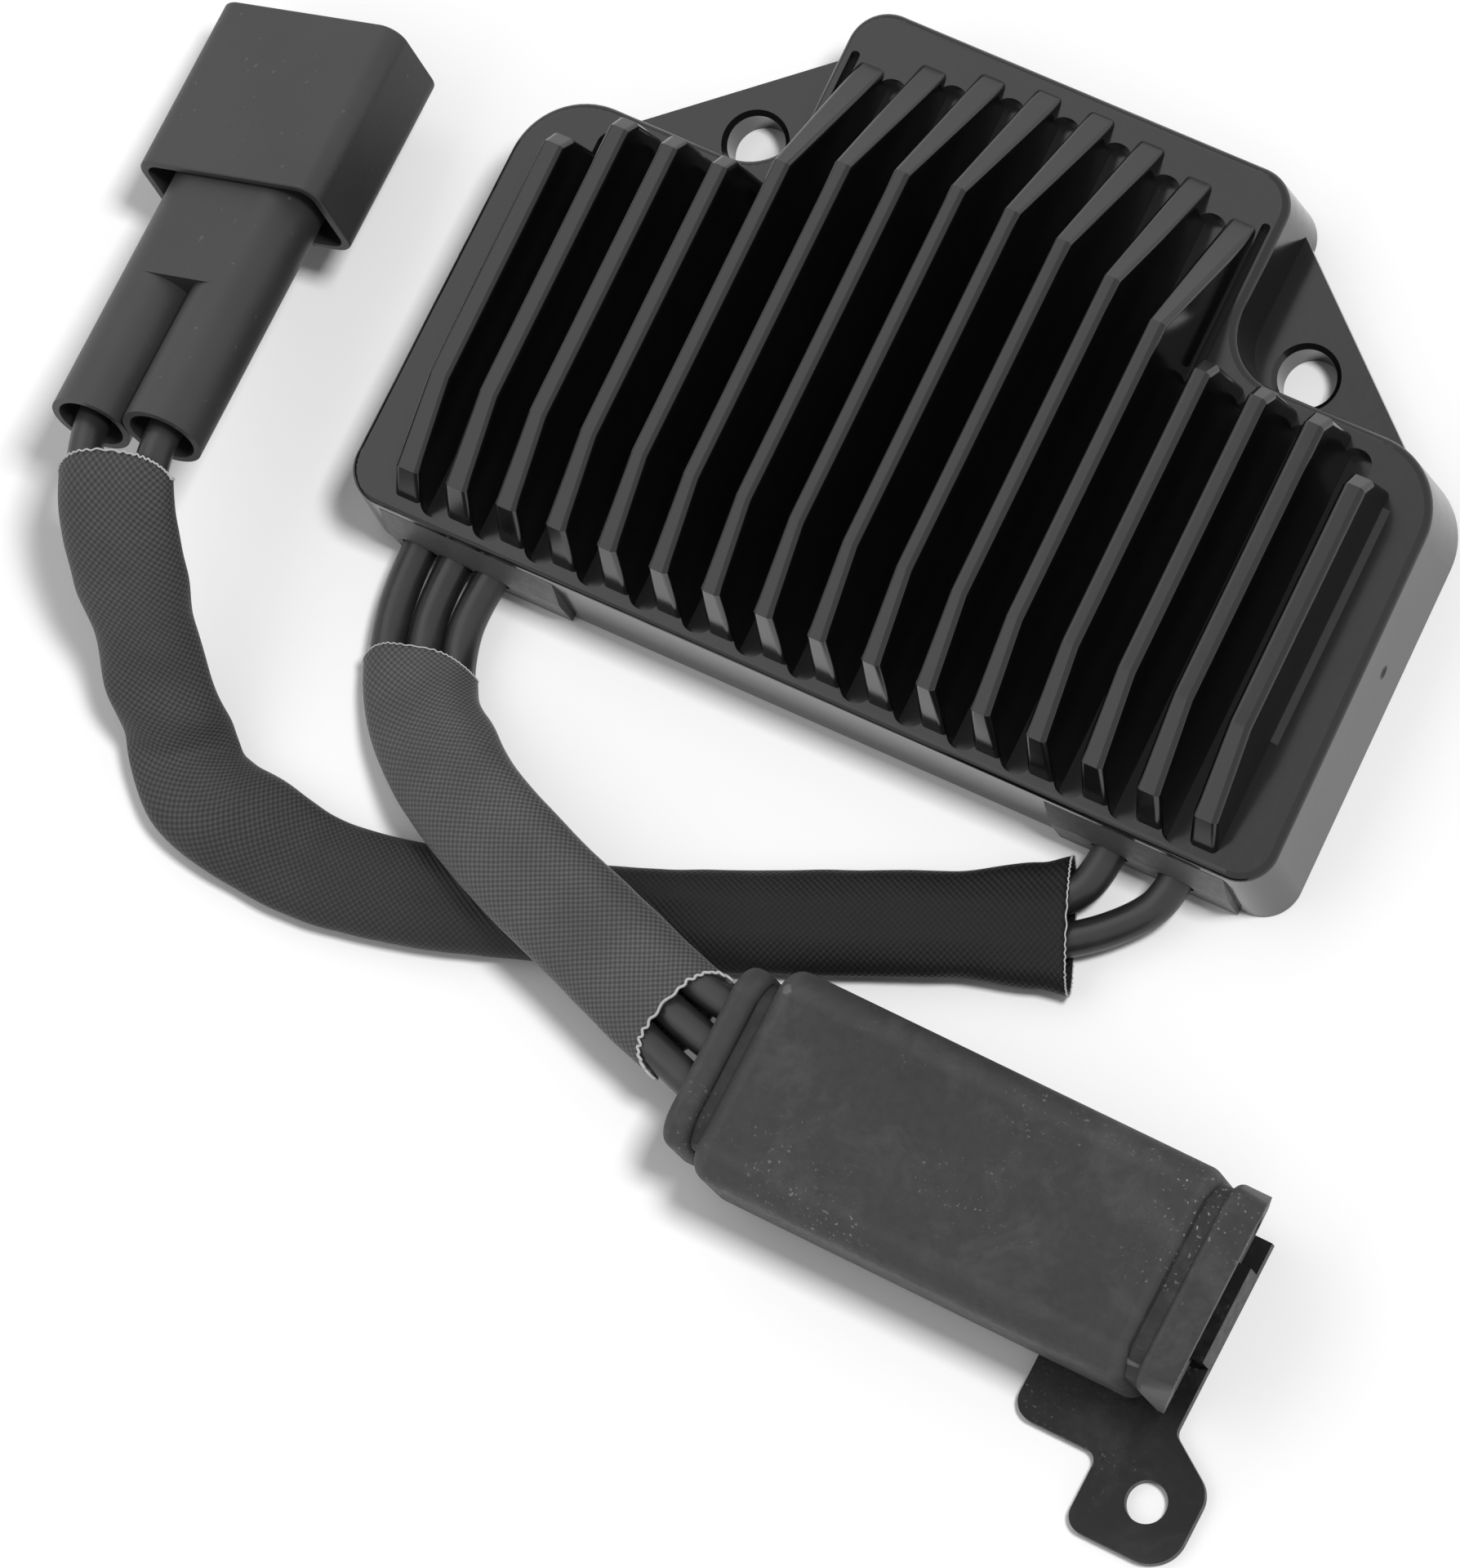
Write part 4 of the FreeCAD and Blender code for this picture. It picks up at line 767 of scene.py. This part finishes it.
floor_mesh = bpy.data.meshes.new("floor")
h = FLOOR_HALF
floor_mesh.from_pydata([(-h, -h, 0), (h, -h, 0), (h, h, 0), (-h, h, 0)], [], [(0, 1, 2, 3)])
floor = bpy.data.objects.new("floor", floor_mesh)
floor.location.z = FLOOR_Z
scene.collection.objects.link(floor)
floor_white = bpy.data.materials.new("floor_white")
floor_white.use_nodes = True
tree = floor_white.node_tree
tree.nodes.clear()
place = new_node(tree, "ShaderNodeTexCoord").outputs["Object"]
away = tree.nodes.new("ShaderNodeVectorMath")
away.operation = "LENGTH"
tree.links.new(place, away.inputs[0])
fade = new_node(tree, "ShaderNodeMapRange", Value=away.outputs["Value"],
                From_Min=FADE_FROM, From_Max=FADE_TO)
strength = maths(tree, "MULTIPLY", fade.outputs[0], seen_rays(tree))
pale = new_node(tree, "ShaderNodeBsdfDiffuse", Color=(FLOOR_TONE, FLOOR_TONE, FLOOR_TONE, 1.0))
far_white = new_node(tree, "ShaderNodeEmission", Color=WHITE, Strength=strength)
both = tree.nodes.new("ShaderNodeAddShader")
tree.links.new(pale.outputs[0], both.inputs[0])
tree.links.new(far_white.outputs[0], both.inputs[1])
new_node(tree, "ShaderNodeOutputMaterial", Surface=both.outputs[0])
floor_mesh.materials.append(floor_white)

world = bpy.data.worlds.new("studio")
scene.world = world
world.use_nodes = True
tree = world.node_tree
tree.nodes.clear()
strength = new_node(tree, "ShaderNodeMapRange", Value=seen_rays(tree),
                    To_Min=WORLD_LIGHT, To_Max=1.0)
sky = new_node(tree, "ShaderNodeBackground", Color=WHITE, Strength=strength.outputs[0])
new_node(tree, "ShaderNodeOutputWorld", Surface=sky.outputs[0])


def lamp(name, place, target, size, radiance, in_gloss=True):
    """A flat soft light; size is its width by its depth along y."""
    data = bpy.data.lights.new(name, "AREA")
    data.shape = "RECTANGLE"
    data.size, data.size_y = size
    data.energy = math.pi * size[0] * size[1] * radiance
    item = bpy.data.objects.new(name, data)
    item.location = place
    back = (Vector(place) - Vector(target)).normalized()
    side = Vector((0, 1, 0)).cross(back).normalized()
    above = back.cross(side)
    item.rotation_mode = "QUATERNION"
    item.rotation_quaternion = Matrix((side, above, back)).transposed().to_quaternion()
    item.visible_glossy = in_gloss
    scene.collection.objects.link(item)
    return item


# The key light stands nearly overhead. The wide softbox hangs over the left
# side, and the flat tops and front slopes of the casting mirror it.
key_way = Vector((0.38, 0.16, 1.0)).normalized()
lamp("key", key_way * 2.0, (0, 0, 0), (0.34, 0.34), 92.0, in_gloss=False)
lamp("softbox", (-1.265, 0, 1.5), (-1.265, 0, 0), (1.87, 3.0), 0.85)
